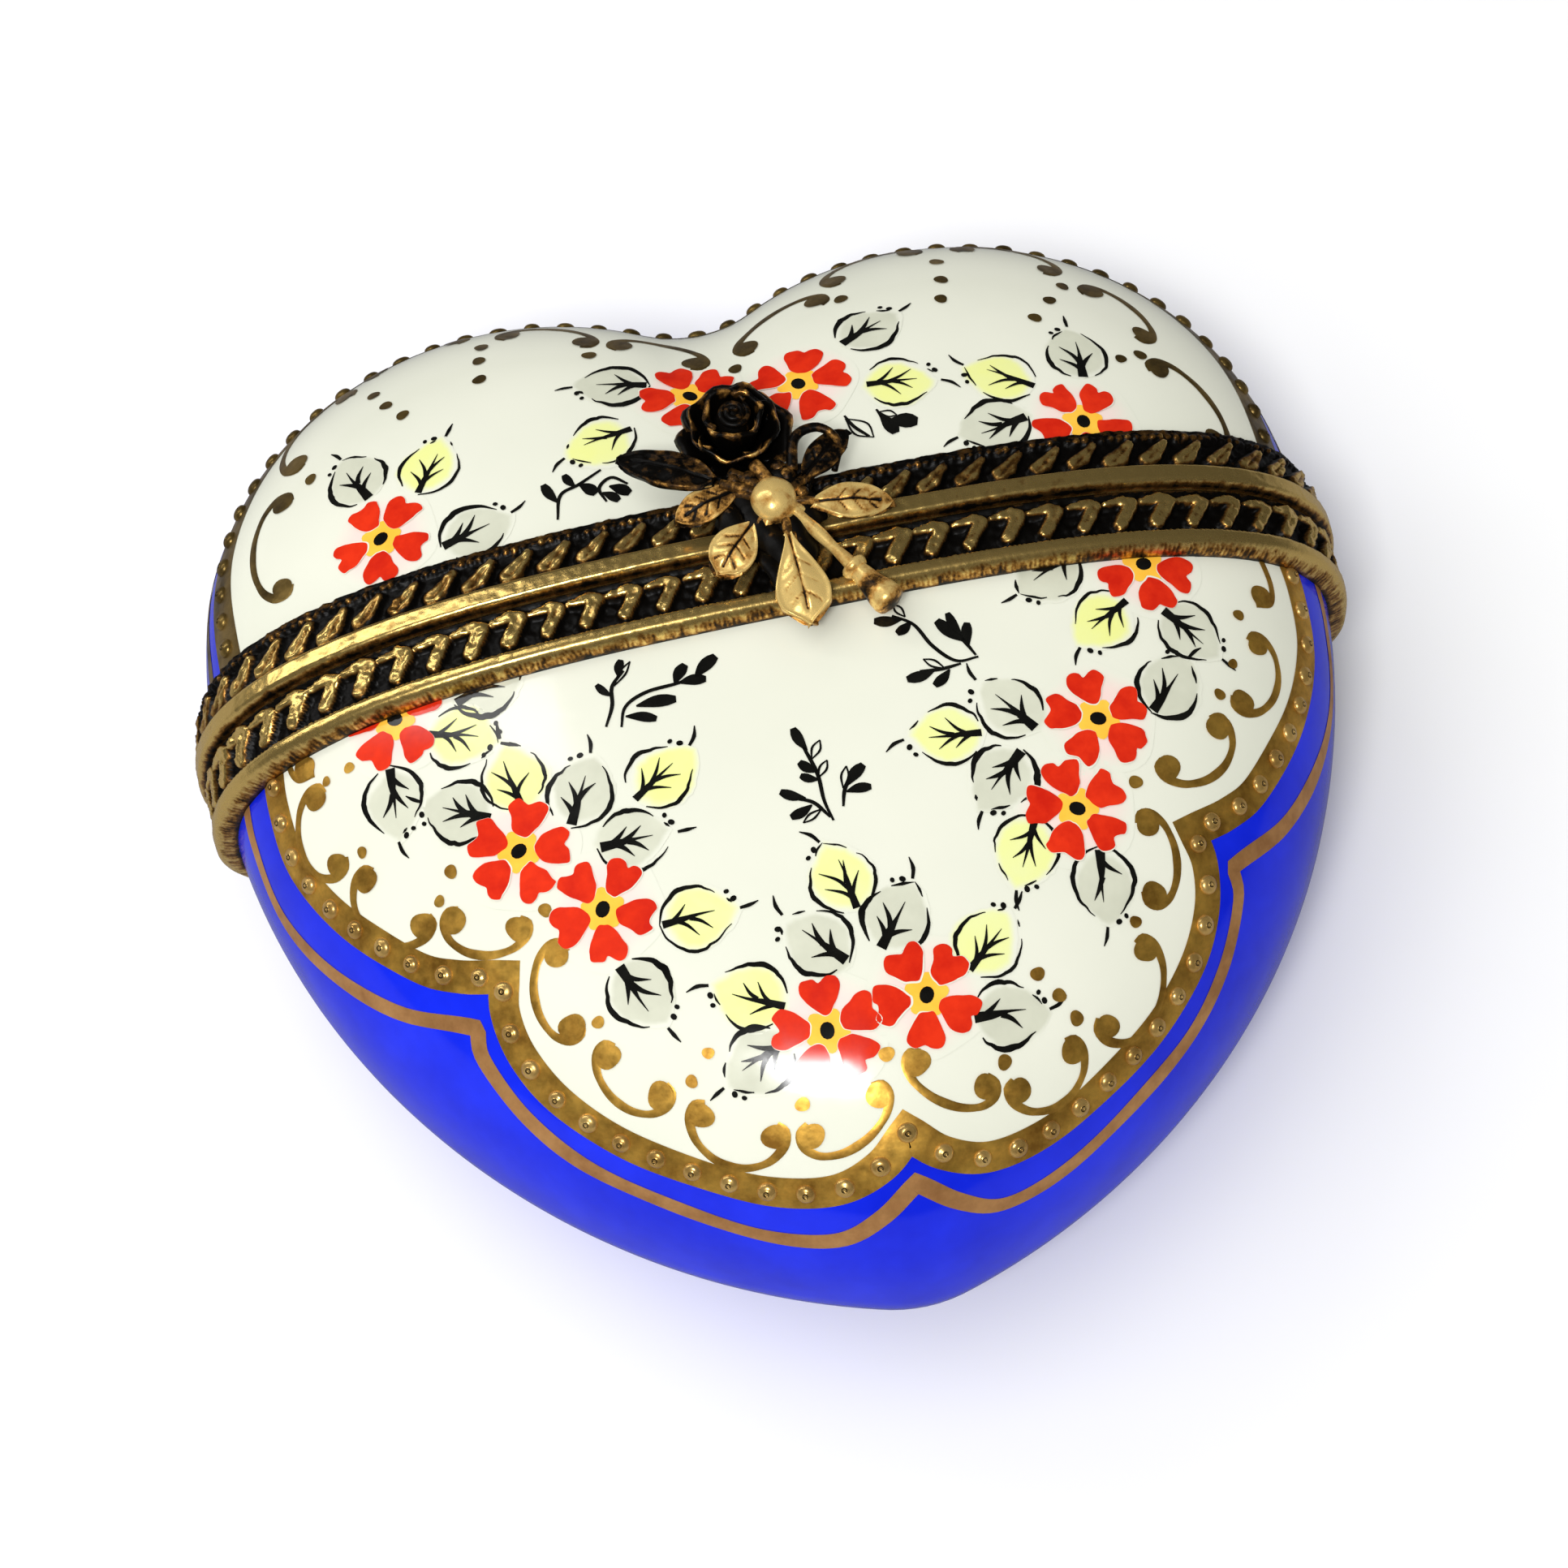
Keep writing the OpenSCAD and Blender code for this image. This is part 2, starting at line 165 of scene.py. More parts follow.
# ---------------------------------------------------------------- mesh helpers
def grid_faces(nu, nv, wrap_u=False, wrap_v=False, start=0, flip=False):
    i = np.arange(nu if wrap_u else nu - 1)
    j = np.arange(nv if wrap_v else nv - 1)
    a, b = np.meshgrid(i, j, indexing="ij")
    a2, b2 = (a + 1) % nu, (b + 1) % nv
    q = np.stack([a * nv + b, a2 * nv + b, a2 * nv + b2, a * nv + b2], -1).reshape(-1, 4)
    return (q[:, ::-1] if flip else q) + start


class Layer:
    """Collects many small surfaces into one object with several materials."""

    def __init__(self):
        self.verts, self.faces, self.mats, self.fade, self.tone = [], [], [], [], []
        self.count = 0

    def add(self, verts, faces, mat=0, fade=None, tone=0.5):
        verts = np.asarray(verts, float).reshape(-1, 3)
        n = len(verts)
        self.verts.append(verts)
        self.faces += [tuple(int(v) + self.count for v in f) for f in faces]
        self.mats += [mat] * len(faces)
        self.fade.append(np.zeros(n) if fade is None else np.asarray(fade, float).reshape(-1))
        self.tone.append(np.full(n, tone) if np.isscalar(tone) else np.asarray(tone, float).reshape(-1))
        self.count += n

    def face_outward(self, verts):
        """Turn every face of a flat layer to look away from the glaze."""
        tri = np.array([f[:3] for f in self.faces])
        n = np.cross(verts[tri[:, 1]] - verts[tri[:, 0]], verts[tri[:, 2]] - verts[tri[:, 0]])
        out = snap(verts[tri[:, 0]], rounds=0)[1]
        for k in np.nonzero((n * out).sum(1) < 0)[0]:
            self.faces[k] = self.faces[k][::-1]

    def build(self, name, materials, body, weld=0.0, replaces=(), flat=False):
        mesh = bpy.data.meshes.new(name)
        verts = np.concatenate(self.verts)
        if flat:
            self.face_outward(verts)
        verts = verts * MM
        mesh.from_pydata([tuple(v) for v in verts], [], self.faces)
        mesh.polygons.foreach_set("material_index", self.mats)
        mesh.polygons.foreach_set("use_smooth", [True] * len(self.faces))
        for key, data in (("fade", self.fade), ("tone", self.tone)):
            attr = mesh.attributes.new(key, "FLOAT", "POINT")
            attr.data.foreach_set("value", np.concatenate(data).astype(np.float32))
        for m in materials:
            mesh.materials.append(m)
        if weld:
            bm = bmesh.new()
            bm.from_mesh(mesh)
            bmesh.ops.remove_doubles(bm, verts=bm.verts, dist=weld * MM)
            bmesh.ops.dissolve_degenerate(bm, edges=bm.edges, dist=weld * MM)
            bmesh.ops.recalc_face_normals(bm, faces=bm.faces)
            bm.to_mesh(mesh)
            bm.free()
        mesh.update()
        ob = bpy.data.objects.new(name, mesh)
        bpy.context.scene.collection.objects.link(ob)
        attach(ob, body)
        if replaces:
            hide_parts(*replaces)
        return ob


def smooth_curve(points, per=8, closed=False):
    """Catmull-Rom curve through the points, evenly spaced."""
    p = np.asarray(points, float)
    if closed:
        p = np.vstack([p[-1], p, p[0], p[1]])
    else:
        p = np.vstack([2 * p[0] - p[1], p, 2 * p[-1] - p[-2]])
    out = []
    for k in range(1, len(p) - 2):
        t = np.linspace(0, 1, per, endpoint=False)[:, None]
        a, b, c, d = p[k - 1], p[k], p[k + 1], p[k + 2]
        out.append(0.5 * (2 * b + (c - a) * t + (2 * a - 5 * b + 4 * c - d) * t ** 2
                          + (3 * b - a - 3 * c + d) * t ** 3))
    out.append(p[-2][None])
    return np.vstack(out)


def evenly(p, step):
    p = np.asarray(p, float)
    run = np.concatenate([[0], np.cumsum(np.linalg.norm(np.diff(p, axis=0), axis=1))])
    n = max(2, int(round(run[-1] / step)) + 1)
    t = np.linspace(0, run[-1], n)
    return np.stack([np.interp(t, run, p[:, k]) for k in range(p.shape[1])], -1)


# ---------------------------------------------------------------- materials
class Nodes:
    """Short way to write a node material."""

    def __init__(self, name):
        self.mat = bpy.data.materials.new(name)
        self.mat.use_nodes = True
        self.tree = self.mat.node_tree
        self.bsdf = self.tree.nodes["Principled BSDF"]

    def new(self, kind, **values):
        node = self.tree.nodes.new(kind)
        for key, v in values.items():
            if hasattr(node, key):
                setattr(node, key, v)
            else:
                node.inputs[key.replace("_", " ")].default_value = v
        return node

    def link(self, a, b):
        self.tree.links.new(a, b)

    def noise(self, scale, detail=3.0, rough=0.5):
        coord = self.new("ShaderNodeTexCoord")
        node = self.new("ShaderNodeTexNoise", Scale=scale, Detail=detail, Roughness=rough)
        self.link(coord.outputs["Object"], node.inputs["Vector"])
        return node.outputs["Fac"]

    def attr(self, name):
        return self.new("ShaderNodeAttribute", attribute_name=name).outputs["Fac"]

    def ramp(self, fac, *stops):
        node = self.new("ShaderNodeValToRGB")
        ramp = node.color_ramp
        while len(ramp.elements) < len(stops):
            ramp.elements.new(0.5)
        for el, (pos, col) in zip(ramp.elements, stops):
            el.position = pos
            el.color = (*col, 1) if len(col) == 3 else col
        self.link(fac, node.inputs["Fac"])
        return node.outputs["Color"]

    def mix(self, fac, a, b):
        node = self.new("ShaderNodeMix", data_type="RGBA")
        for value, socket in ((fac, node.inputs[0]), (a, node.inputs[6]), (b, node.inputs[7])):
            if isinstance(value, (tuple, list)):
                socket.default_value = (*value, 1)
            elif isinstance(value, float):
                socket.default_value = value
            else:
                self.link(value, socket)
        return node.outputs[2]

    def math(self, op, a, b=0.0):
        node = self.new("ShaderNodeMath", operation=op)
        for value, socket in ((a, node.inputs[0]), (b, node.inputs[1])):
            if isinstance(value, (int, float)):
                socket.default_value = value
            else:
                self.link(value, socket)
        return node.outputs[0]

    def remap(self, value, a, b, c=0.0, d=1.0, smooth=False):
        node = self.new("ShaderNodeMapRange", interpolation_type="SMOOTHSTEP" if smooth else "LINEAR")
        for k, v in enumerate((a, b, c, d)):
            node.inputs[k + 1].default_value = v
        self.link(value, node.inputs[0])
        return node.outputs[0]

    def bump(self, height, strength, distance):
        node = self.new("ShaderNodeBump", Strength=strength, Distance=distance * MM)
        self.link(height, node.inputs["Height"])
        self.link(node.outputs["Normal"], self.bsdf.inputs["Normal"])

    def set(self, **values):
        for key, v in values.items():
            socket = self.bsdf.inputs[key.replace("_", " ")]
            if isinstance(v, (int, float)):
                socket.default_value = v
            elif isinstance(v, (tuple, list)):
                socket.default_value = (*v, 1) if len(v) == 3 else v
            else:
                self.link(v, socket)
        return self.mat


WHITE, WHITE_DEEP = (0.80, 0.805, 0.685), (0.76, 0.77, 0.65)
COBALT, COBALT_DEEP = (0.008, 0.026, 0.82), (0.003, 0.012, 0.56)


def glaze_gloss(n, rough=0.10):
    """Thin uneven gloss glaze shared by every painted surface."""
    n.bump(n.noise(420, 2.0), 0.05, 0.05)
    n.set(Roughness=n.remap(n.noise(900, 2.0), 0.3, 0.7, rough * 0.8, rough * 1.3))
    return n.set(IOR=1.43, Coat_Weight=0.10, Coat_Roughness=0.04)


def porcelain_white(n):
    return n.mix(n.remap(n.noise(90, 3.0), 0.35, 0.65), WHITE, WHITE_DEEP)


def make_porcelain(name):
    n = Nodes(name)
    cloud = n.remap(n.noise(140, 4.0, 0.6), 0.3, 0.7)
    blue = n.mix(cloud, COBALT, COBALT_DEEP)
    white = porcelain_white(n)
    n.set(Base_Color=n.mix(n.remap(n.attr("tone"), 0.49, 0.51), blue, white))
    return glaze_gloss(n)


def make_paint(name, light, dark, scale=700, soak=0.0):
    """Enamel laid by brush: pooled and thin spots, and a soft rim where fade nears 1."""
    n = Nodes(name)
    pool = n.remap(n.noise(scale, 3.0, 0.6), 0.32, 0.68)
    colour = n.mix(n.mix(0.5, n.attr("tone"), pool), light, dark)
    if soak:
        ragged = n.math("ADD", n.attr("fade"), n.remap(n.noise(450, 3.0), 0.3, 0.7, -0.08, 0.08))
        colour = n.mix(n.remap(ragged, soak, 1.0, 0.0, 1.0, True), colour, porcelain_white(n))
    n.set(Base_Color=colour)
    return glaze_gloss(n, 0.14)


def make_gold(name, light, dark, rough, grain, metal=0.8):
    """Burnished gilding over glaze, brushed unevenly."""
    n = Nodes(name)
    blotch = n.remap(n.noise(380, 5.0, 0.7), 0.35, 0.65)
    n.set(Base_Color=n.mix(blotch, light, dark), Metallic=metal)
    n.set(Roughness=n.remap(n.noise(1500, 3.0), 0.3, 0.7, rough * 0.75, rough * 1.35))
    n.bump(n.noise(grain, 3.0), 0.35, 0.06)
    return n.mat


def make_mount(name, shine=(0.98, 0.68, 0.22), dull=(0.46, 0.22, 0.05), tone=None, metal=0.92):
    """Antiqued brass: black patina in the low places, rubbed gold on the high ones."""
    n = Nodes(name)
    grit = n.remap(n.noise(1500, 5.0, 0.7), 0.28, 0.72, -0.30, 0.24)
    broad = n.remap(n.noise(180, 3.0), 0.3, 0.7, -0.10, 0.10)
    rub = n.math("ADD", n.math("ADD", n.attr("tone") if tone is None else tone, grit), broad)
    colour = n.ramp(rub, (0.28, (0.002, 0.0015, 0.001)), (0.44, (0.09, 0.042, 0.010)),
                    (0.58, dull), (0.80, shine))
    n.set(Base_Color=colour, Metallic=n.remap(rub, 0.20, 0.50, 0.0, metal))
    n.set(Roughness=n.remap(rub, 0.3, 0.9, 0.42, 0.27), Specular_IOR_Level=0.2)
    n.bump(n.noise(1500, 4.0, 0.6), 0.5, 0.05)
    return n.mat


GLAZE = make_porcelain("cobalt_and_white_glaze")
RED = make_paint("red_enamel", (0.82, 0.040, 0.010), (0.52, 0.007, 0.002), 900, 0.965)
YELLOW = make_paint("yellow_enamel", (1.0, 0.62, 0.08), (0.95, 0.45, 0.03))
INK = make_paint("black_enamel", (0.010, 0.010, 0.008), (0.002, 0.002, 0.002))
LEAF_YELLOW = make_paint("yellow_wash", (0.84, 0.87, 0.28), (0.80, 0.84, 0.42), 400, 0.70)
LEAF_GREY = make_paint("grey_wash", (0.56, 0.57, 0.45), (0.70, 0.71, 0.57), 500, 0.80)
HALO = make_paint("pink_wash", (0.90, 0.66, 0.60), (0.88, 0.74, 0.68), 300, 0.45)
PAINTS = [RED, YELLOW, INK, LEAF_YELLOW, LEAF_GREY, HALO]
P_RED, P_YELLOW, P_INK, P_LEAF_Y, P_LEAF_G, P_HALO = range(6)
GOLD = make_gold("brushed_gilding", (1.0, 0.58, 0.10), (0.40, 0.19, 0.025), 0.42, 1200, 0.84)
COPPER_GOLD = make_gold("thin_gilt_line", (0.70, 0.36, 0.13), (0.46, 0.21, 0.07), 0.42, 1200, 0.6)
LID_GOLD = make_gold("dark_gilding", (0.34, 0.22, 0.06), (0.10, 0.065, 0.02), 0.34, 1200, 0.8)
BEAD_GOLD = make_gold("gilt_beads", (0.90, 0.60, 0.20), (0.50, 0.27, 0.06), 0.28, 900, 0.75)
BRASS = make_mount("antiqued_brass")
CAST = make_mount("cast_brass", (1.0, 0.70, 0.24), (0.62, 0.31, 0.07), metal=0.55)
HINGE_BRASS = make_mount("hinge_brass", tone=0.55)

# ---------------------------------------------------------------- painted border
# Scalloped line of beads in plan, right half from the mount down to the tip.
SCALLOP_SIDE = [(25.2, 4.0), (25.4, 1.2), (25.0, -2.0), (23.3, -5.6), (20.5, -9.1), (18.6, -10.5),
                (16.5, -11.4)]
SCALLOP_TIP = [(16.5, -11.4), (16.8, -12.9), (16.4, -14.9), (15.1, -17.2), (12.7, -19.7), (9.6, -21.9),
               (6.6, -23.5), (3.7, -24.3), (1.5, -24.0), (0.0, -23.0)]
LINE_SIDE = [(26.9, 4.0), (27.0, 1.0), (26.3, -3.0), (24.4, -7.0), (21.6, -10.5), (18.2, -12.9)]
LINE_TIP = [(18.2, -12.9), (18.2, -14.2), (16.8, -17.0), (14.5, -19.7), (11.0, -22.4), (7.3, -24.6),
            (4.0, -25.8), (1.8, -25.7), (0.0, -24.9)]


def both_sides(side, tip):
    """Full border from the right of the mount round to the left."""
    right = np.vstack([smooth_curve(side, 10)[:-1], smooth_curve(tip, 10)])
    left = right[::-1][1:] * [-1, 1]
    return np.vstack([right, left])


BORDER = both_sides(SCALLOP_SIDE, SCALLOP_TIP)
BORDER_LINE = both_sides(LINE_SIDE, LINE_TIP)


def inside_border(xy):
    """Signed distance to the bead line, positive on the white panel."""
    loop = np.vstack([BORDER, [BORDER[-1] + [0, 9]], [BORDER[0] + [0, 9]]])
    a, b = loop, np.roll(loop, -1, axis=0)
    best = np.full(len(xy), 1e9)
    odd = np.zeros(len(xy), bool)
    for p, q in zip(a, b):
        e = q - p
        t = np.clip(((xy - p) @ e) / max(e @ e, 1e-12), 0, 1)
        best = np.minimum(best, np.hypot(*(xy - p - t[:, None] * e).T))
        if p[1] != q[1]:
            cross = (p[1] > xy[:, 1]) != (q[1] > xy[:, 1])
            odd ^= cross & (xy[:, 0] < (q[0] - p[0]) * (xy[:, 1] - p[1]) / (q[1] - p[1]) + p[0])
    return np.where(odd, best, -best)


# Height of the bead line on the lobes, by bearing from the crown in degrees.
LOBE_LINE = smooth_curve([(12, 18.3), (20, 17.8), (28, 17.2), (38, 16.1), (50, 15.4), (68, 15.4), (80, 15.9),
                          (90, 16.5)], 8)


def lobe_line(ang, drop=0.0):
    deg = np.degrees(ang)
    return np.interp(np.where(deg > 90, 180 - deg, deg), LOBE_LINE[:, 0], LOBE_LINE[:, 1]) - drop


def lobe_path(drop, step):
    ang = np.radians(np.linspace(14, 166, 1200))
    z = lobe_line(ang, drop)
    s = front_share(z)[:, None]
    xy = np.array([0, CROWN_Y]) + s * (outline(ang) - [0, CROWN_Y])
    keep = xy[:, 1] > SEAM_Y + 1.4
    return evenly(np.column_stack([xy, z])[keep], step)


# ---------------------------------------------------------------- porcelain
ROWS, MOUTH_N, EDGE_N = 34, 120, 150


def chain_points(end, s, cy, height, inset):
    """Points of one skin from its middle to the outline, for every chain and share."""
    xy = np.array([0, cy]) + s[..., None] * (end[:, None, :] - [0, cy])
    return np.concatenate([xy, height(s, inset)[..., None]], -1)


def late(u):
    return 1 - (1 - u) ** 2.2


def body_porcelain():
    y = SEAM_Y - MOUTH_IN
    layer = Layer()
    rims = []
    for inset in (0.0, WALL):
        a0 = math.atan2(y - CROWN_Y, float(half_width(y, inset)))
        v = np.linspace(0, 1, MOUTH_N + 1)
        mouth = a0 + (math.pi - 2 * a0) * (0.5 * v + 0.25 * (1 - np.cos(math.pi * v)))
        edge = np.linspace(math.pi - a0, 2 * math.pi + a0, EDGE_N + 1)[1:-1]
        end = outline(np.concatenate([mouth, edge]), inset)
        n = len(end)
        top_f, top_b = np.ones(n), np.ones(n)
        top_f[:MOUTH_N + 1] = (y - CROWN_Y) / (end[:MOUTH_N + 1, 1] - CROWN_Y)
        top_b[:MOUTH_N + 1] = (y - FOOT_Y) / (end[:MOUTH_N + 1, 1] - FOOT_Y)
        u = late(np.linspace(0, 1, ROWS))[None]
        face = chain_points(end, top_f[:, None] * u, CROWN_Y, front_z, inset)
        rear = np.concatenate([np.zeros((n, 1)), FOOT_SHARE + (top_b[:, None] - FOOT_SHARE) * u], 1)
        back = chain_points(end, rear, FOOT_Y, back_z, inset)
        tone = 0.5 + inside_border(face.reshape(-1, 3)[:, :2]) / 4 if inset == 0 else np.ones(n * ROWS)
        f0 = layer.count
        layer.add(face, grid_faces(n, ROWS, wrap_u=True), tone=np.clip(tone, 0, 1))
        b0 = layer.count
        layer.add(back, grid_faces(n, ROWS + 1, wrap_u=True), tone=0.0 if inset == 0 else 1.0)
        rims.append((f0 + ROWS - 1, b0 + ROWS, ROWS, ROWS + 1))
    (f0, b0, fs, bs), (f1, b1, _, _) = rims
    for i in range(MOUTH_N):
        layer.faces.append((f0 + i * fs, f0 + (i + 1) * fs, f1 + (i + 1) * fs, f1 + i * fs))
        layer.faces.append((b0 + i * bs, b0 + (i + 1) * bs, b1 + (i + 1) * bs, b1 + i * bs))
        layer.mats += [0, 0]
    return layer.build("body_porcelain", [GLAZE], "body", weld=0.002,
                       replaces=("body_shell",))


def lid_porcelain():
    y = SEAM_Y + MOUTH_IN
    layer = Layer()
    starts = []
    for inset in (0.0, WALL):
        a0 = math.atan2(y - CROWN_Y, float(half_width(y, inset)))
        v = np.linspace(0, 1, 181)
        ang = a0 + (math.pi - 2 * a0) * (0.5 * v + 0.25 * (1 - np.cos(math.pi * v)))
        end = outline(ang, inset)
        u = late(np.linspace(0, 1, ROWS))[None]
        sf = ((y - CROWN_Y) / (end[:, 1] - CROWN_Y))[:, None]
        sb = ((y - FOOT_Y) / (end[:, 1] - FOOT_Y))[:, None]
        face = chain_points(end, sf + (1 - sf) * u, CROWN_Y, front_z, inset)
        back = chain_points(end, (sb + (1 - sb) * u)[:, ::-1], FOOT_Y, back_z, inset)
        skin = np.concatenate([face, back[:, 1:]], 1)
        tone = np.ones(skin.shape[:2])
        if inset == 0:
            lift = skin[..., 2] - lobe_line(np.arctan2(skin[..., 1] - CROWN_Y, skin[..., 0]))
            tone = np.clip(0.5 + lift / 4, 0, 1)
        starts.append(layer.count)
        layer.add(skin, grid_faces(len(ang), 2 * ROWS - 1), tone=tone)
    k = 2 * ROWS - 1
    for i in range(180):
        for j in (0, k - 1):
            a, b = starts[0] + i * k + j, starts[1] + i * k + j
            layer.faces.append((a, a + k, b + k, b))
            layer.mats.append(0)
    return layer.build("lid_porcelain", [GLAZE], "lid", weld=0.002, replaces=("lid_shell",))


# ---------------------------------------------------------------- brushwork
class Spot:
    """Flat drawing board laid on the glaze at a plan point, x axis toward a plan bearing."""

    def __init__(self, layer, xy, deg=0.0):
        self.layer = layer
        p, n = snap(on_face(np.array(xy, float)))
        d = np.array([math.cos(math.radians(deg)), math.sin(math.radians(deg)), 0])
        self.p, self.t = p, unit(d - n * (n @ d))
        self.b = np.cross(n, self.t)

    def lay(self, uv, lift):
        uv = np.asarray(uv, float)
        p, n = snap(self.p + uv[..., :1] * self.t + uv[..., 1:2] * self.b)
        return p + lift * n

    def fill(self, loop, mat, lift=0.03, rings=4, tone=0.5):
        """Closed shape filled in rings; fade runs from 0 inside to 1 at the rim."""
        loop = np.asarray(loop, float)
        mid = loop.mean(0)
        f = np.linspace(0, 1, rings + 1)[1:]
        pts = mid + f[:, None, None] * (loop - mid)
        n = len(loop)
        v = np.vstack([self.lay(pts.reshape(-1, 2), lift), self.lay(mid[None], lift)])
        faces = [tuple(q) for q in grid_faces(rings, n, wrap_v=True)]
        faces += [(rings * n, (i + 1) % n, i) for i in range(n)]
        self.layer.add(v, faces, mat, np.append(np.repeat(f, n), 0), tone)

    def stroke(self, pts, widths, mat, lift=0.045, tone=0.5):
        """Brush line through the points; widths given along it."""
        path = evenly(smooth_curve(pts, 8), 0.14)
        w = np.interp(np.linspace(0, 1, len(path)), np.linspace(0, 1, len(widths)), widths)
        d = unit(np.gradient(path, axis=0))
        side = np.column_stack([-d[:, 1], d[:, 0]])
        uv = path[:, None] + side[:, None] * (w[:, None] * [-0.5, 0.5])[..., None]
        self.layer.add(self.lay(uv, lift), grid_faces(len(path), 2, flip=True), mat, tone=tone)

    def dot(self, uv, r, mat, lift=0.05, tone=0.5):
        a = np.linspace(0, 2 * math.pi, 14, endpoint=False)
        wob = r * (1 + 0.1 * np.sin(2 * a + rng.uniform(0, 6)))
        self.fill(np.column_stack([np.cos(a), np.sin(a)]) * wob[:, None] + uv, mat, lift, 2, tone)


def jitter(points, amount=0.05):
    return np.asarray(points, float) + rng.uniform(-amount, amount, (len(points), 2))


PETAL = [(0.70, 0.0), (0.76, 0.28), (1.05, 0.56), (1.50, 0.80), (1.95, 0.97), (2.32, 0.92), (2.52, 0.60),
         (2.44, 0.26), (2.28, 0.0)]


def flower(layer, xy, deg):
    spot = Spot(layer, xy)
    a = np.linspace(0, 2 * math.pi, 40, endpoint=False)
    ring = np.column_stack([np.cos(a), np.sin(a)])
    spot.fill(ring * (2.95 + 0.12 * np.cos(5 * a - math.radians(deg) * 5))[:, None], P_HALO, 0.016, 6)
    heart = 0.92 + 0.16 * np.cos(5 * (a - math.radians(deg + 36)))
    spot.fill(ring * heart[:, None], P_YELLOW, 0.060, 3, 0.4)
    for k in range(5):
        upper = np.array(PETAL)
        lower = upper[1:-1][::-1] * [1, -1]
        loop = jitter(np.vstack([upper, lower]), 0.07)
        loop *= [1, rng.uniform(0.88, 1.05)]
        turn = math.radians(deg + 72 * k + rng.uniform(-5, 5))
        c, s = math.cos(turn), math.sin(turn)
        loop = smooth_curve(loop @ np.array([[c, s], [-s, c]]), 3, closed=True)[:-1]
        spot.fill(loop, P_RED, 0.066, 5, rng.uniform(0.2, 0.7))
    spot.dot((0, 0), 0.37, P_INK, 0.080)


def leaf(layer, xy, deg, grey, length=3.7, width=3.1):
    """Soft wash, broken brush outline, heavy forked vein and a tick past the tip."""
    spot = Spot(layer, xy, deg)
    t = np.linspace(0, 1, 18)
    half = 0.5 * width * np.sin(math.pi * t ** 0.82) ** 0.75
    upper = np.column_stack([(t - 0.5) * length, half])
    lower = upper[1:-1][::-1] * [1, -1]
    wash = np.vstack([upper, lower]) * rng.uniform(1.02, 1.10) + rng.uniform(-0.22, 0.22, 2)
    spot.fill(jitter(wash, 0.05), P_LEAF_G if grey else P_LEAF_Y, 0.020, 6, rng.uniform(0.2, 0.8))
    heavy = 1.7 if grey else 1.25
    for side in (1, -1):
        line = jitter(upper * [1, side], 0.04)
        a, b = rng.integers(0, 3, 2)
        cut = 14 + rng.integers(-2, 3)
        w = heavy * rng.uniform(0.75, 1.15)
        spot.stroke(line[a:cut], [0.06, 0.12 * w, 0.19 * w, 0.12 * w, 0.04], P_INK)
        if cut < 15:
            spot.stroke(line[cut + 1:17 + b % 2], [0.05, 0.10 * w, 0.03], P_INK)
    x0 = -0.46 * length
    bend = rng.uniform(-0.25, 0.25)
    spot.stroke([(x0, 0), (x0 + 0.9, bend * 0.4), (x0 + 1.7, bend), (x0 + 2.5, bend * 1.1)],
                [0.30 * heavy, 0.24 * heavy, 0.14, 0.03], P_INK, 0.052)
    for at, far, rise in ((0.45, 1.35, 0.85), (0.65, 1.55, -0.80), (1.0, 2.15, 0.75), (1.3, 2.3, -0.55)):
        if rng.random() < 0.85:
            tip = (x0 + far + rng.uniform(-0.15, 0.15), rise + rng.uniform(-0.12, 0.12))
            mid = ((x0 + at + tip[0]) / 2, tip[1] * 0.38 + bend * 0.4)
            spot.stroke([(x0 + at, bend * 0.3), mid, tip], [0.17 * heavy, 0.12 * heavy, 0.03], P_INK, 0.054)
    lean = rng.uniform(-0.35, 0.35)
    spot.stroke([(0.53 * length, lean * 0.4), (0.53 * length + 0.5, lean), (0.53 * length + 0.9, lean * 2.2)],
                [0.14, 0.20, 0.05], P_INK)
    spot.dot((0.47 * length, 0.55), 0.15, P_INK)
    spot.dot((0.40 * length, 0.95), 0.12, P_INK)


def brush_leaf(spot, base, tip, width, hollow=False):
    base, tip = np.array(base, float), np.array(tip, float)
    d = tip - base
    side = unit(np.array([-d[1], d[0]]))
    if hollow:
        mid = base + 0.55 * d
        for s in (1, -1):
            spot.stroke([base, mid + s * side * width * 0.5, tip], [0.07, 0.12, 0.07], P_INK)
        return
    swell = np.array([0.2, 0.7, 1.15, 1.35, 1.2, 0.7])
    spot.stroke([base, base + 0.5 * d + side * 0.06, tip], swell * width, P_INK)


def sprig(layer, stem, leaves, weight=0.19):
    """Black brush spray; stem and leaves given in plan."""
    stem = np.array(stem, float)
    mid = stem[len(stem) // 2]
    spot = Spot(layer, mid)
    spot.stroke(stem - mid, [0.6 * weight, weight, weight, 0.7 * weight], P_INK)
    for (x0, y0), (x1, y1), w, hollow in leaves:
        brush_leaf(spot, (x0 - mid[0], y0 - mid[1]), (x1 - mid[0], y1 - mid[1]), w, hollow)


# Places of flowers, leaves, scrolls and dots in mm. They are what a scratch program printed when it carried
# points read off the photo by eye onto the face. The task's rule on tables does not allow it; see report.md.
BODY_FLOWERS = [(-19.0, 2.4, -60), (-14.6, -6.1, -3), (-11.4, -10.0, -25), (-2.6, -18.1, 20),
                (2.2, -17.5, 40), (11.2, -10.0, 25), (13.3, -5.7, 18), (17.6, 2.2, -15)]
LID_FLOWERS = [(-17.9, 12.4, 40), (-1.6, 16.9, 35), (3.7, 16.0, 0), (16.8, 10.7, 50)]
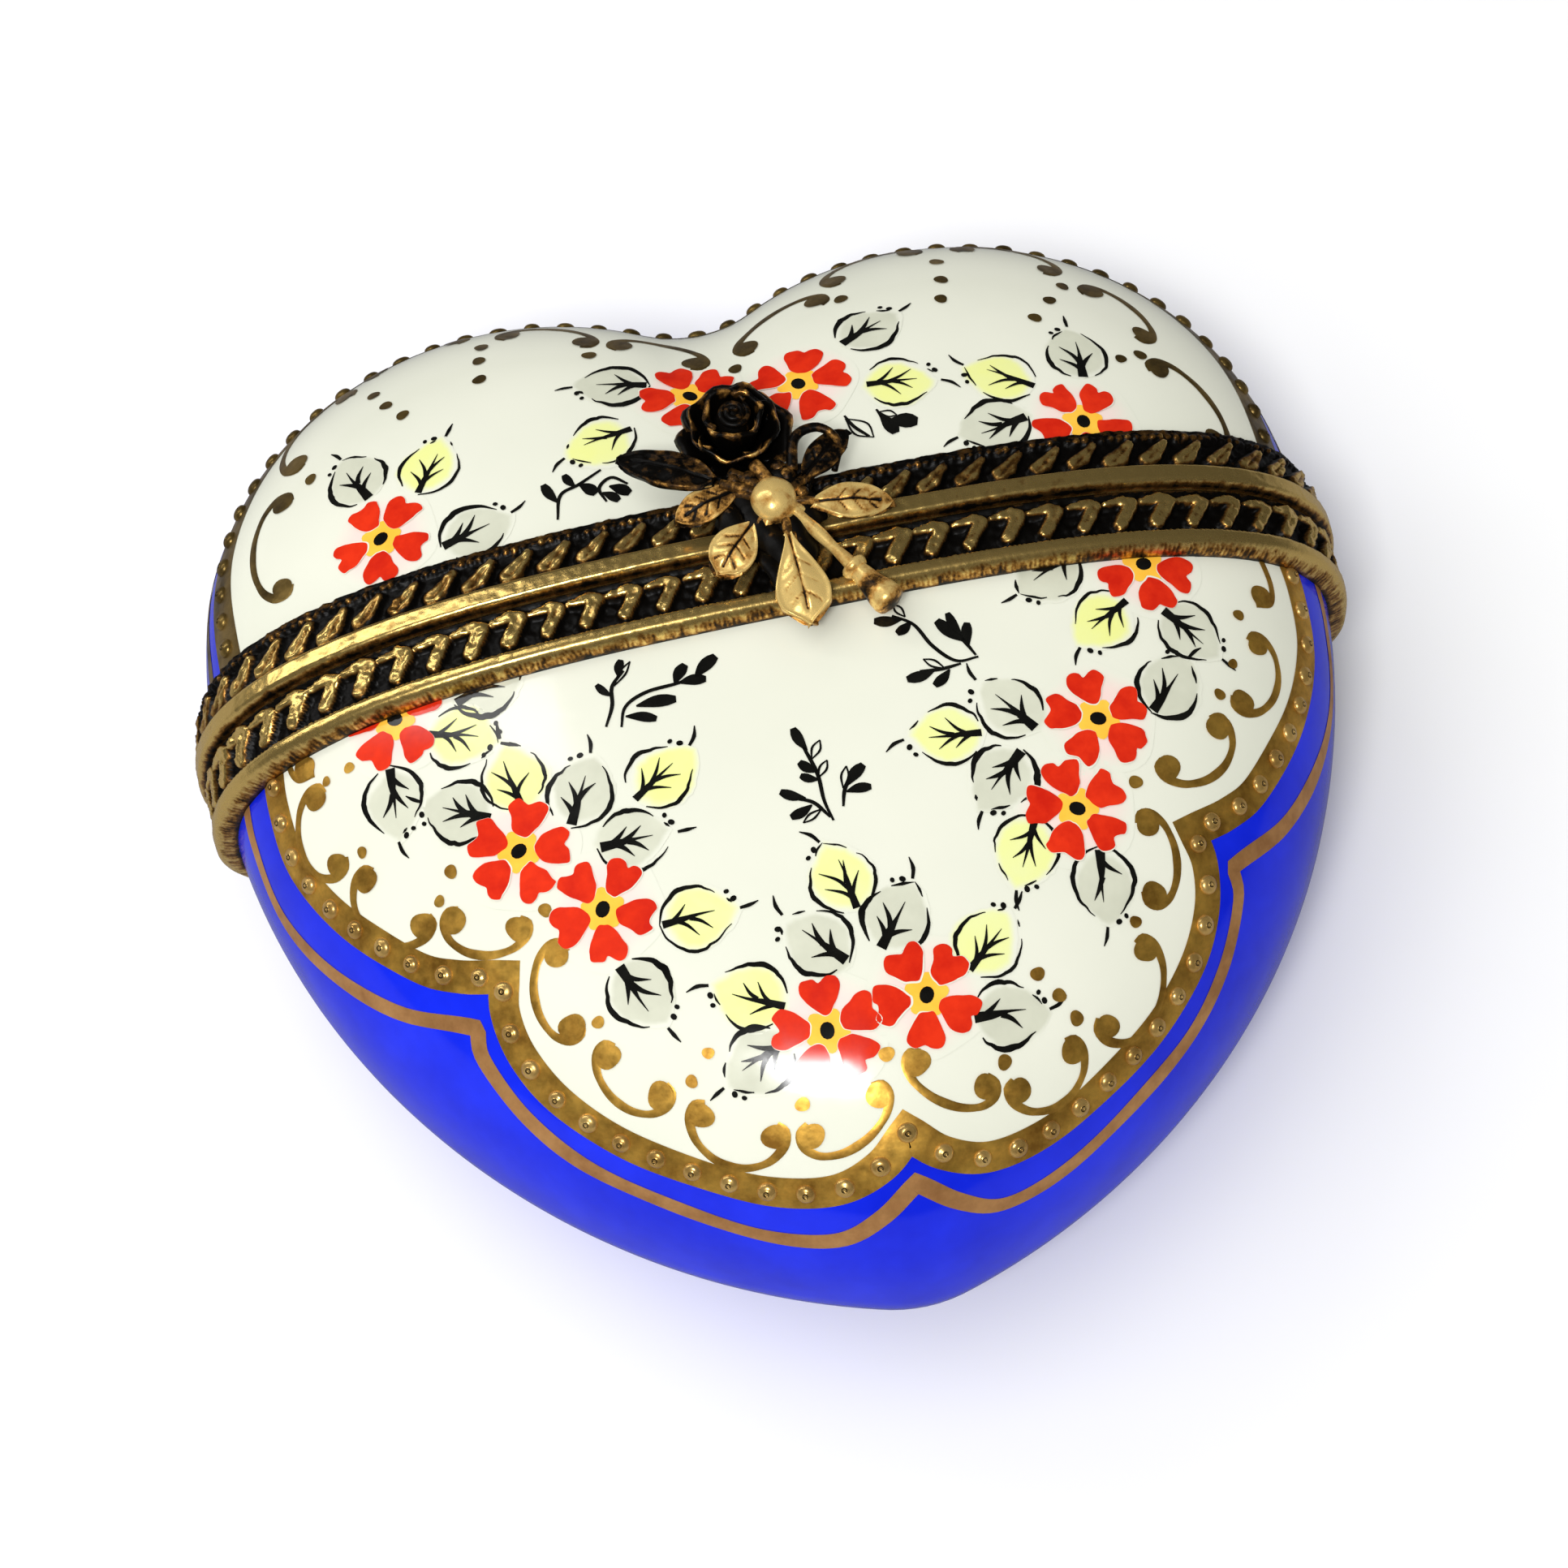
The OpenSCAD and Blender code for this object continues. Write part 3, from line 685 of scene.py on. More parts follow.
# x, y, bearing of the tip, 1 for grey and 0 for yellow
BODY_LEAVES = [
    (-16.1, 0.3, -25, 0), (-14.2, -2.3, 95, 0), (-7.4, -4.3, 32, 0), (-7.2, -11.6, -2, 0),
    (-5.7, -15.7, 148, 0), (-0.4, -11.3, 103, 0), (6.0, -5.3, 172, 0), (14.9, -0.7, -145, 0),
    (8.3, -11.7, -118, 0), (5.7, -15.6, 42, 0),
    (-14.4, 2.6, 15, 1), (-19.9, -1.6, -100, 1), (-17.0, -3.2, 150, 1), (-11.2, -4.1, 62, 1),
    (-9.2, -7.2, -3, 1), (-10.5, -14.3, -68, 1), (-2.2, -14.0, 132, 1), (1.7, -13.7, 52, 1),
    (9.2, -4.4, 128, 1), (8.1, -8.0, -135, 1), (17.2, -4.3, 45, 1), (19.0, -1.6, -45, 1),
    (11.6, -13.7, -92, 1), (5.8, -18.9, -8, 1), (-6.0, -18.6, -155, 1), (12.8, 2.3, -150, 1),
]
LID_LEAVES = [
    (-14.8, 15.9, 60, 0), (-6.5, 14.8, -165, 0), (13.5, 14.1, 150, 0), (8.6, 14.8, -6, 0),
    (-18.5, 16.7, 110, 1), (-13.4, 11.2, 12, 1), (-5.2, 18.5, 168, 1), (7.9, 18.8, 28, 1),
    (17.6, 15.2, 85, 1), (12.4, 11.1, 190, 1),
]


def painting(name, flowers, leaves, sprigs, body):
    layer = Layer()
    for x, y, deg in flowers:
        flower(layer, (x, y), deg)
    for x, y, deg, grey in leaves:
        leaf(layer, (x, y), deg, grey)
    for stem, shoots in sprigs:
        sprig(layer, stem, shoots)
    return layer.build(name, PAINTS, body, flat=True)


BODY_SPRIGS = [
    ([(-9.4, -1.2), (-8.9, -0.2), (-8.7, 0.8), (-8.0, 1.5)],
     [((-8.8, 0.3), (-9.4, 1.1), 0.3, 0), ((-8.3, 1.2), (-8.0, 2.1), 0.35, 0),
      ((-8.6, 0.8), (-7.6, 1.9), 0.3, 1)]),
    ([(-8.7, -1.4), (-8.3, -0.4), (-7.2, 0.1), (-5.6, 0.2), (-4.6, 0.4)],
     [((-4.8, 0.3), (-3.6, 1.2), 0.5, 0), ((-5.6, 0.2), (-4.3, 0.1), 0.45, 0),
      ((-5.8, 0.2), (-5.1, 1.1), 0.45, 0),
      ((-7.8, -0.5), (-5.9, -0.6), 0.5, 0), ((-8.4, -0.9), (-7.0, -1.4), 0.4, 0)]),
    ([(-0.1, -8.5), (-0.3, -7.4), (-0.3, -6.0), (-0.6, -4.6), (-0.8, -3.6)],
     [((-0.5, -4.7), (-0.9, -3.4), 0.4, 0), ((-0.4, -5.2), (0.2, -4.3), 0.4, 1),
      ((-0.3, -5.9), (-1.0, -5.2), 0.4, 0),
      ((-0.3, -6.2), (0.3, -5.4), 0.35, 1), ((-0.3, -6.3), (-1.1, -5.9), 0.35, 0)]),
    ([(-0.2, -8.3), (-0.8, -7.4), (-1.6, -7.0)],
     [((-1.1, -7.1), (-2.2, -6.5), 0.4, 0), ((-0.9, -7.5), (-2.0, -7.9), 0.4, 0),
      ((-0.5, -7.8), (-1.5, -8.3), 0.3, 1)]),
    ([(0.5, -7.9), (0.8, -7.0), (1.5, -6.2)],
     [((0.9, -6.9), (1.9, -6.0), 0.45, 0), ((0.8, -7.2), (2.0, -7.2), 0.4, 0),
      ((0.7, -7.0), (1.1, -5.9), 0.35, 1)]),
    ([(8.5, -1.6), (7.4, -1.6), (6.5, -0.6), (5.9, 0.7), (5.0, 1.4)],
     [((5.4, 1.1), (4.1, 1.3), 0.45, 0), ((5.8, 0.9), (5.0, 0.4), 0.4, 0),
      ((5.6, 1.2), (5.2, 2.0), 0.35, 1)]),
    ([(8.4, -1.5), (8.0, -0.6), (7.4, 0.5)],
     [((8.1, -0.7), (7.0, 0.7), 0.5, 0), ((8.2, -0.9), (8.4, 0.3), 0.4, 0),
      ((8.0, -0.4), (7.6, 1.0), 0.35, 0)]),
    ([(7.6, -1.8), (6.6, -1.9), (5.6, -1.8)],
     [((6.3, -1.9), (4.9, -2.1), 0.45, 0), ((6.8, -1.9), (5.9, -1.2), 0.35, 1),
      ((7.0, -2.0), (6.1, -2.7), 0.4, 0)]),
]
LID_SPRIGS = [
    ([(-9.4, 10.6), (-9.0, 12.0), (-8.0, 12.4), (-6.8, 13.0)],
     [((-9.2, 11.6), (-9.7, 12.9), 0.4, 0), ((-8.2, 12.3), (-8.6, 13.2), 0.35, 0),
      ((-8.0, 12.4), (-7.3, 11.6), 0.5, 0)]),
    ([(-6.9, 11.0), (-7.1, 11.9), (-6.4, 12.4), (-5.7, 11.8)],
     [((-6.6, 11.9), (-5.7, 11.2), 0.5, 0), ((-7.0, 11.6), (-6.3, 10.9), 0.4, 0)]),
    ([(5.4, 13.3), (5.7, 12.5), (6.3, 11.7)], [((5.4, 13.1), (6.5, 11.6), 0.9, 1)]),
    ([(7.0, 13.3), (7.3, 12.5), (8.1, 12.2)],
     [((7.1, 12.9), (7.6, 11.6), 0.55, 0), ((7.4, 12.4), (8.8, 12.1), 0.7, 0),
      ((7.1, 13.1), (7.9, 12.7), 0.4, 1)]),
]


# ---------------------------------------------------------------- gilding
def ribbon(layer, path, widths, mat=0, lift=0.04, across=3, tone=0.5):
    """Gilt line of changing width laid along points near the glaze, mitred at its cusps."""
    p, n = snap(path)
    seg = unit(np.diff(p, axis=0))
    before, after = np.vstack([seg[:1], seg]), np.vstack([seg, seg[-1:]])
    d = unit(before + after)
    mitre = 1 / np.clip((d * after).sum(1), 0.6, 1)
    side = unit(np.cross(n, d))
    w = np.broadcast_to(widths, len(p)) * mitre
    o = np.linspace(-0.5, 0.5, across)
    q, m = snap(p[:, None] + side[:, None] * (w[:, None] * o)[..., None])
    rise = lift * (1 - 0.55 * np.abs(2 * o) ** 3)
    layer.add(q + m * rise[:, None], grid_faces(len(p), across), mat, tone=tone)


def dome(layer, p, n, r, h, turn=0.0):
    """Raised bead standing on the glaze."""
    t = unit(np.cross(n, [0.3, 0.2, 0.9]))
    b = np.cross(n, t)
    a = np.linspace(0, 2 * math.pi, 16, endpoint=False) + turn
    rings = []
    for k in range(7):
        f = k / 7
        rr, hh = r * math.cos(f * math.pi / 2) ** 0.8, h * math.sin(f * math.pi / 2)
        rings.append(p + (np.cos(a)[:, None] * t + np.sin(a)[:, None] * b) * rr + n * hh)
    v = np.vstack(rings + [(p + n * h)[None]])
    faces = [tuple(q) for q in grid_faces(7, 16, wrap_v=True)]
    faces += [(6 * 16 + i, 6 * 16 + (i + 1) % 16, 7 * 16) for i in range(16)]
    layer.add(v, faces)


def wavering(n, width, amount):
    """Uneven width, as if drawn by hand: slow swells along a gilt line."""
    t = np.linspace(0, n / 9, n)
    return width * (1 + amount * (np.sin(t + rng.uniform(0, 6)) + 0.6 * np.sin(2.7 * t + rng.uniform(0, 6))))


def blot(layer, xy, r, tone):
    """Irregular round touch of gold."""
    a = np.linspace(0, 2 * math.pi, 22, endpoint=False)
    wob = r * (1 + 0.07 * np.sin(2 * a + rng.uniform(0, 6)) + 0.05 * np.sin(3 * a + rng.uniform(0, 6)))
    Spot(layer, xy).fill(np.column_stack([np.cos(a), np.sin(a)]) * wob[:, None], 0, 0.055, 3, tone)


def scroll(layer, a, b, middle, r=0.62, bulge=0.40, width=0.38):
    """C scroll: a brush line bowed toward the border, curling into a blot at either end."""
    a, b = np.array(a, float), np.array(b, float)
    d = np.linalg.norm(b - a)
    e = (b - a) / d
    o = np.array([-e[1], e[0]])
    if o @ ((a + b) / 2 - middle) < 0:
        o = -o
    bow = rng.uniform(0.92, 1.08) * bulge * d
    arc = [(a + b) / 2 - math.cos(t) * (d / 2 + 0.5) * e + math.sin(t) * bow * o
           for t in np.radians([0, 18, 42, 68, 90, 112, 138, 162, 180])]
    path = [a + 0.05 * e - 0.5 * o, a - 0.38 * e - 0.36 * o, *arc,
            b + 0.38 * e - 0.36 * o, b - 0.05 * e - 0.5 * o]
    line = evenly(smooth_curve(path, 8), 0.16)
    w = width * np.interp(np.linspace(0, 1, len(line)), [0, 0.12, 0.3, 0.5, 0.7, 0.88, 1],
                          [0.7, 1.3, 0.95, 1.2, 0.9, 1.3, 0.7])
    ribbon(layer, on_face(line), w, lift=0.06, tone=rng.uniform(0.3, 0.7))
    blot(layer, a, r, 0.5)
    blot(layer, b, r * rng.uniform(0.9, 1.1), 0.5)


# Scrolls and dots: places computed the same way as BODY_FLOWERS.
BODY_SCROLLS = [
    ((-23.5, 0.4), (-23.1, -3.1)), ((-21.9, -4.5), (-19.7, -7.7)), ((-18.2, -8.1), (-15.4, -9.6)),
    ((-13.9, -11.3), (-13.9, -14.6)), ((-12.6, -16.3), (-10.6, -18.6)), ((-9.0, -19.9), (-5.9, -21.7)),
    ((-4.3, -22.1), (-1.0, -21.3)), ((1.1, -20.3), (4.0, -21.7)), ((5.5, -22.0), (8.4, -20.6)),
    ((10.3, -19.7), (12.9, -16.6)), ((13.9, -14.2), (14.4, -11.0)), ((16.1, -8.4), (19.1, -6.4)),
    ((20.7, -5.1), (22.3, -2.1)),
]
BODY_DOTS = [
    (-21.6, 1.0, 0.28), (-22.8, 0.9, 0.24), (-21.8, -3.2, 0.28), (-17.9, -5.9, 0.33), (-18.7, -7.0, 0.28),
    (-14.0, -9.2, 0.33), (-12.7, -14.8, 0.30), (-9.1, -18.5, 0.30), (-8.1, -17.6, 0.28), (-4.4, -20.8, 0.34),
    (21.7, -0.6, 0.30), (20.7, -3.2, 0.26), (19.6, -4.8, 0.30), (14.3, -9.0, 0.34), (12.7, -15.4, 0.30),
    (7.5, -17.3, 0.34), (8.3, -18.3, 0.34), (8.9, -19.3, 0.36), (5.1, -20.8, 0.36), (-0.2, -19.7, 0.36),
]
LID_SCROLLS = [((-22.3, 17.3), (-23.1, 12.0)), ((-18.2, 23.9), (-21.3, 19.7)), ((-16.4, 25.3), (-12.1, 25.8)),
               ((-9.5, 24.7), (-5.9, 22.6)), ((-4.2, 21.9), (-0.8, 19.6)), ((1.9, 19.9), (5.9, 22.0)),
               ((7.2, 23.6), (11.5, 25.3)), ((14.3, 25.0), (18.0, 22.1)), ((19.7, 20.0), (21.5, 16.6)),
               ((21.6, 14.1), (23.4, 9.6))]
LID_DOTS = [(-16.8, 22.5, 0.34), (-16.3, 21.2, 0.34), (-15.6, 20.0, 0.34), (-11.0, 23.9, 0.38),
            (-11.3, 22.6, 0.36), (-11.5, 21.0, 0.36), (-5.9, 21.2, 0.36), (1.0, 18.4, 0.36),
            (-20.7, 18.0, 0.34), (7.1, 21.6, 0.36), (12.5, 23.5, 0.36), (12.3, 21.7, 0.36),
            (11.9, 20.1, 0.34), (18.3, 20.4, 0.34), (17.3, 19.2, 0.34), (16.2, 17.9, 0.34),
            (20.9, 15.0, 0.34), (19.8, 14.7, 0.30)]


def gild_body():
    layer = Layer()
    band = on_face(evenly(BORDER, 0.3))
    ribbon(layer, band, wavering(len(band), 1.6, 0.03), across=7)
    line = on_face(evenly(BORDER_LINE, 0.3))
    ribbon(layer, line, wavering(len(line), 0.85, 0.07), 1)
    for a, b in BODY_SCROLLS:
        scroll(layer, a, b, np.array([0.0, -4.0]))
    for x, y in ((-23.7, 2.1), (23.2, 0.6)):
        blot(layer, (x, y), 0.6, 0.5)
        s = math.copysign(1, x)
        tail = [(x - 0.4 * s, y - 0.5), (x + 0.45 * s, y - 0.3),
                (x + 0.75 * s, y + 0.8), (x + 0.5 * s, y + 2.6)]
        ribbon(layer, on_face(smooth_curve(tail, 8)), 0.36, lift=0.06)
    for x, y, r in BODY_DOTS:
        blot(layer, (x, y), r, 0.5)
    layer.build("body_gilding", [GOLD, COPPER_GOLD], "body", flat=True)
    beads = Layer()
    for p, n in zip(*snap(on_face(evenly(BORDER, 1.8)))):
        dome(beads, p + 0.02 * n, n, rng.uniform(0.44, 0.50), rng.uniform(0.26, 0.31), turn=rng.uniform(0, 1))
    beads.build("body_beads", [BEAD_GOLD], "body")


def gild_lid():
    layer = Layer()
    band = lobe_path(0.0, 0.3)
    ribbon(layer, band, wavering(len(band), 2.1, 0.03), across=7)
    line = lobe_path(2.3, 0.3)
    ribbon(layer, line, wavering(len(line), 0.8, 0.07))
    for a, b in LID_SCROLLS:
        lobe = np.array([math.copysign(10.0, a[0] + b[0]), 8.0])
        scroll(layer, a, b, lobe, 0.62, 0.28)
    for x, y, r in LID_DOTS:
        blot(layer, (x, y), r, 0.5)
    layer.build("lid_gilding", [LID_GOLD], "lid", flat=True)
    beads = Layer()
    for p, n in zip(*snap(lobe_path(0.0, 1.75))):
        dome(beads, p + 0.02 * n, n, rng.uniform(0.44, 0.50), rng.uniform(0.26, 0.32), turn=rng.uniform(0, 1))
    beads.build("lid_beads", [LID_GOLD], "lid")


# ---------------------------------------------------------------- cast mounts
CEMENT, SLEEVE_IN = 0.12, 0.45
LEAF_PITCH, HOOK_PITCH = 1.85, 1.87


def section(theta, y, inset=0.0):
    """Heart cross-section at y: points (x, z) and their outward normals, face for theta below pi."""
    x = half_width(y, inset) * np.cos(theta)
    s_f = np.hypot(x, y - CROWN_Y) / reach(np.arctan2(y - CROWN_Y, x), inset, CROWN_Y)
    s_b = np.hypot(x, y - FOOT_Y) / reach(np.arctan2(y - FOOT_Y, x), inset, FOOT_Y)
    z = np.where(theta < math.pi, front_z(s_f, inset), back_z(s_b, inset))
    z = np.where(np.abs(np.sin(theta)) < 1e-9, MID_Z, z)
    p = np.stack([x, z], -1)
    t = unit(np.roll(p, -1, 0) - np.roll(p, 1, 0))
    return p, np.stack([t[:, 1], -t[:, 0]], -1)


def even_section(y, pitch):
    theta = np.linspace(0, 2 * math.pi, 6001)[:-1]
    p, _ = section(theta, y)
    run = np.concatenate([[0], np.cumsum(np.linalg.norm(np.diff(np.vstack([p, p[:1]]), axis=0), axis=1))])
    n = int(round(run[-1] / pitch))
    u = np.linspace(0, run[-1], n + 1)[:-1]
    return np.interp(u, run, np.append(theta, 2 * math.pi)), u, run[-1]


def capsule(u, d, a, b, ra, rb):
    """Closeness to a tapered bar from a to b: 1 on its spine, 0 at its edge and beyond."""
    a, b = np.array(a), np.array(b)
    e = b - a
    t = np.clip(((u - a[0]) * e[0] + (d - a[1]) * e[1]) / (e @ e), 0, 1)
    dist = np.hypot(u - a[0] - t * e[0], d - a[1] - t * e[1])
    return np.clip(1 - dist / (ra + (rb - ra) * t), 0, 1)


def hump(c, flat=1.0):
    return np.minimum(np.sqrt(np.clip(1 - (1 - c) ** 2, 0, 1)), flat) / flat


def step(x, a, b):
    t = np.clip((x - a) / (b - a), 0, 1)
    return t * t * (3 - 2 * t)


def motif(u, d, pitch, bars):
    """Highest of the bars, repeated every pitch along u, each copy a little different."""
    out = np.zeros_like(u)
    cell = np.floor(u / pitch)
    for k in (-1, 0, 1):
        own = np.sin((cell + k) * 12.9898) * 43758.5453
        own = own - np.floor(own)
        v = u - (cell + k + 0.5) * pitch
        for a, b, ra, rb in bars:
            grow = 0.88 + 0.22 * own
            out = np.maximum(out, capsule(v, d + 0.08 * (own - 0.5), a, b, ra * grow, rb * grow))
    return out


def lid_relief(u, d, rough):
    leaf_c = motif(u, d, LEAF_PITCH, [((-0.62, 1.52), (-0.12, 1.76), 0.48, 0.54),
                                      ((-0.12, 1.76), (0.62, 2.52), 0.54, 0.26)])
    slit = motif(u, d, LEAF_PITCH, [((-0.46, 1.50), (0.42, 2.28), 0.11, 0.08)]) * (d < 2.7)
    leaf_c = leaf_c * (d < 2.80)
    bead = np.clip(1 - np.hypot((u % 0.44) - 0.22, (d - 3.02) * 1.1) / 0.24, 0, 1) * (d > 2.8)
    bead = bead * (0.70 + 0.30 * np.sin(u * 3.1) + 0.12 * rough)
    across = np.clip(1 - np.abs(d - 0.60) / 0.62, 0, 1)
    ridge = hump(across, 0.8)
    h = 0.40 + 0.05 * rough + 0.44 * hump(leaf_c, 0.75) - 0.14 * slit + 0.30 * hump(bead)
    h = np.where(d < 1.22, 0.46 + 0.60 * ridge + 0.012 * rough, h)
    h = np.where(d > 3.20, 0.50 + 0.06 * rough, h)
    tone = 0.04 + 0.74 * np.clip(2.2 * leaf_c, 0, 1) - 0.34 * slit + 0.50 * np.clip(2 * bead, 0, 1)
    tone = np.where(d < 1.22, 0.22 + 0.80 * np.clip(2.8 * across, 0, 1), tone)
    tone = np.where(d > 3.20, 0.30, tone)
    return h, tone + 0.07 * rough


def body_relief(u, d, rough):
    hook = motif(u, d, HOOK_PITCH, [((-0.88, 0.68), (0.10, 0.54), 0.20, 0.36),
                                    ((0.10, 0.54), (0.46, 0.76), 0.36, 0.44),
                                    ((0.46, 0.76), (-0.32, 1.86), 0.44, 0.44)]) * (d < 2.30)
    slit = motif(u, d, HOOK_PITCH, [((0.34, 0.86), (-0.20, 1.62), 0.10, 0.07)])
    across = np.clip(1 - np.abs(d - 2.85) / 0.55, 0, 1)
    ridge = hump(across, 0.8)
    teeth = 0.5 + 0.5 * np.sin(2 * math.pi * u / 0.23 + 2 * rough)
    roll = np.sqrt(np.clip(1 - ((d - 2.85) / 0.61) ** 2, 0, 1))
    edge = ((d > 2.28) & (d < 2.52)) | (d > 3.20)
    h = 0.40 + 0.05 * rough + 0.46 * hump(hook, 0.75) - 0.08 * slit
    h = np.where(d > 2.30, 0.42 + 0.64 * ridge + 0.012 * rough, h)
    h = np.where(d > 2.85, 0.16 + 0.90 * roll, h)
    h = h - np.where(edge, 0.11 * teeth, 0)
    h = np.where(d < 0.20, 0.70 - 0.15 * step(0.20 - d, 0.0, 0.20), h)
    tone = 0.03 + 0.92 * np.clip(2.4 * hook, 0, 1) - 0.26 * slit
    tone = np.where(d > 2.30, 0.22 + 0.80 * np.clip(2.6 * across, 0, 1), tone)
    tone = np.where(d > 2.85, 1.0 - 0.3 * step(d, 3.10, 3.45), tone)
    tone = tone - np.where(edge, 0.28 * teeth, 0)
    tone = np.where(d < 0.20, 0.30, tone)
    return h, tone + 0.07 * rough


def barrel_clear(x, z):
    """How far from the seam the edge of a mount must stay for the hinge barrel."""
    near = (np.abs(x) < BARREL_L / 2 + 0.1) & (z < 2 * BARREL_R + 0.15)
    arc = np.sqrt(np.clip((BARREL_R + 0.1) ** 2 - (z - AXIS_Z) ** 2, 0, None))
    return np.where(near, np.maximum(0.75, arc), 0)


def mount(side, relief, sleeve, name, body, node):
    y_seam = SEAM_Y + side * RIM_GAP
    theta, run, total = even_section(SEAM_Y, 0.115)
    d = np.linspace(0, RIM_W, 33)
    n = len(theta)
    rough = rng.normal(0, 1, (n, len(d)))
    for axis in (0, 1):
        rough = (rough + np.roll(rough, 1, axis) + np.roll(rough, -1, axis)) / 2.2
    u = np.repeat((total - run)[:, None], len(d), 1)
    h, tone = relief(u, np.repeat(d[None], n, 0), np.clip(rough, -2, 2))
    rows, tones = [], []

    def row(p, off, nrm, y, t):
        q = p + nrm * (off[:, None] if np.ndim(off) else off)
        z = q[:, 1]
        yy = SEAM_Y + side * np.maximum(side * (y - SEAM_Y), barrel_clear(q[:, 0], z))
        rows.append(np.column_stack([q[:, 0], yy, z]))
        tones.append(np.full(n, t) if np.ndim(t) == 0 else t)

    p, nrm = section(theta, y_seam + side * RIM_W)
    row(p, -0.06, nrm, y_seam + side * RIM_W, 0.2)
    row(p, 0.14, nrm, y_seam + side * RIM_W, 0.45)
    for j in range(len(d) - 1, -1, -1):
        p, nrm = section(theta, y_seam + side * d[j])
        row(p, h[:, j], nrm, y_seam + side * d[j], tone[:, j])
    p, nrm = section(theta, y_seam)
    q, qn = section(theta, y_seam, WALL)
    inner = q - qn * SLEEVE_IN
    outer = p + nrm * h[:, :1]
    for f in (0.12, 0.4, 0.7, 0.95, 1.0):
        row(outer + (inner - outer) * f, 0.0, nrm, y_seam, 0.84)
    for reach_in in (0.3, 0.5 * sleeve, sleeve):
        q, qn = section(theta, y_seam + side * reach_in, WALL)
        row(q, -SLEEVE_IN, qn, y_seam + side * reach_in, 0.84)
    row(q, -CEMENT, qn, y_seam + side * sleeve, 0.5)
    row(q, 0.05, qn, y_seam + side * (sleeve - 0.1), 0.3)
    v = np.stack(rows, 1)
    layer = Layer()
    layer.add(v, grid_faces(n, len(rows), wrap_u=True), tone=np.clip(np.stack(tones, 1), 0, 1.1))
    return layer.build(name, [BRASS], body, weld=0.0005, replaces=(node,))


# ---------------------------------------------------------------- clasp
def turned(deg_z, deg_y=0.0):
    about_z = Matrix.Rotation(math.radians(deg_z), 3, "Z")
    return np.array(about_z @ Matrix.Rotation(math.radians(deg_y), 3, "Y"))


def slab(layer, grid, thick, tone):
    """Sheet given as a grid of points, thickened downward and closed round its edge."""
    g = np.asarray(grid, float)
    nu, nv = g.shape[:2]
    n = unit(np.cross(np.gradient(g, axis=0), np.gradient(g, axis=1)))
    under = g - n * thick
    tone = np.broadcast_to(tone, (nu, nv))
    top = layer.count
    layer.add(g, grid_faces(nu, nv), tone=tone.copy())
    low = layer.count
    layer.add(under, grid_faces(nu, nv, flip=True), tone=tone * 0.6)
    edge = [i * nv for i in range(nu)] + [(nu - 1) * nv + j for j in range(1, nv)]
    edge += [i * nv + nv - 1 for i in range(nu - 2, -1, -1)] + [j for j in range(nv - 2, 0, -1)]
    for a, b in zip(edge, edge[1:] + edge[:1]):
        layer.faces.append((top + b, top + a, low + a, low + b))
        layer.mats.append(0)


def cast_leaf(name, node, x, y, turn, dip, length, width, belly=0.5, shine=0.80, curl=0.0, tip=0.06):
    """Cast leaf: pinched stalk, raised rim, midrib and side veins cut into a cupped blade."""
    nu, nv = 44, 27
    t, w = np.meshgrid(np.linspace(0, 1, nu), np.linspace(-1, 1, nv), indexing="ij")
    power = math.log(0.5) / math.log(belly)
    half = 0.5 * width * (0.12 + 0.88 * np.sin(math.pi * np.clip(t ** power, 0, 1)) ** 0.75)
    half = half * np.sqrt(np.clip((1 - t) / tip, 0.02, 1))
    px, py = t * length, w * half
    vein = np.exp(-(w * half / 0.07) ** 2) * (t < 0.85)
    for k in range(3):
        run = np.abs(w) * 0.20 + 0.28 + 0.19 * k
        vein = np.maximum(vein, 0.6 * np.exp(-((t - run) * length / 0.06) ** 2) * (np.abs(w) < 0.62))
    rim = np.exp(-((1 - np.abs(w)) * half / 0.15) ** 2)
    pz = 0.42 + 0.26 * (1 - w ** 2) * np.sin(math.pi * t) + 0.12 * rim - 0.12 * vein - 0.35 * t ** 3
    pz += 0.03 * np.sin(4.1 * px + 2.3 * w) + curl * w * np.sin(math.pi * t)
    # Tone: brighter on the raised rim, darker in the veins and toward stalk and tip; on a curled leaf the
    # raised half (w > 0) is painted darker as shade.
    tone = shine + 0.12 * rim - 0.60 * vein - 0.12 * (1 - np.sin(math.pi * t)) - 0.2 * curl * (w > 0)
    g = np.stack([px, py, pz], -1) @ turned(turn, dip).T
    g += [x, y, SPRAY_Z + 0.02 + 0.05 * dip]
    layer = Layer()
    slab(layer, g, 0.34, tone)
    return layer.build(name, [CAST], "lid", replaces=(node,))


def tube(layer, path, radii, tone=0.6, sides=16):
    """Round bar of changing radius along a path."""
    p = np.asarray(path, float)
    d = unit(np.gradient(p, axis=0))
    ref = np.array([0.13, 0.21, 0.97]) if abs(d[0][2]) < 0.9 else np.array([1.0, 0.1, 0.0])
    a = unit(np.cross(d, ref))
    b = np.cross(d, a)
    ang = np.linspace(0, 2 * math.pi, sides, endpoint=False)
    r = np.broadcast_to(radii, len(p))[:, None, None]
    c, s = np.cos(ang)[None, :, None], np.sin(ang)[None, :, None]
    ring = p[:, None] + r * (c * a[:, None] + s * b[:, None])
    along = np.asarray(tone, float).reshape(-1, 1) if np.ndim(tone) else tone
    tones = np.broadcast_to(along, (len(p), sides))
    start = layer.count
    layer.add(ring, grid_faces(len(p), sides, wrap_v=True), tone=tones.copy())
    layer.add(p[[0, -1]], [], tone=0.4)
    middle = start + len(p) * sides
    for c, at, way in ((middle, 0, 1), (middle + 1, len(p) - 1, -1)):
        for i in range(sides):
            f = (c, start + at * sides + i, start + at * sides + (i + 1) % sides)
            layer.faces.append(f[::way])
            layer.mats.append(0)


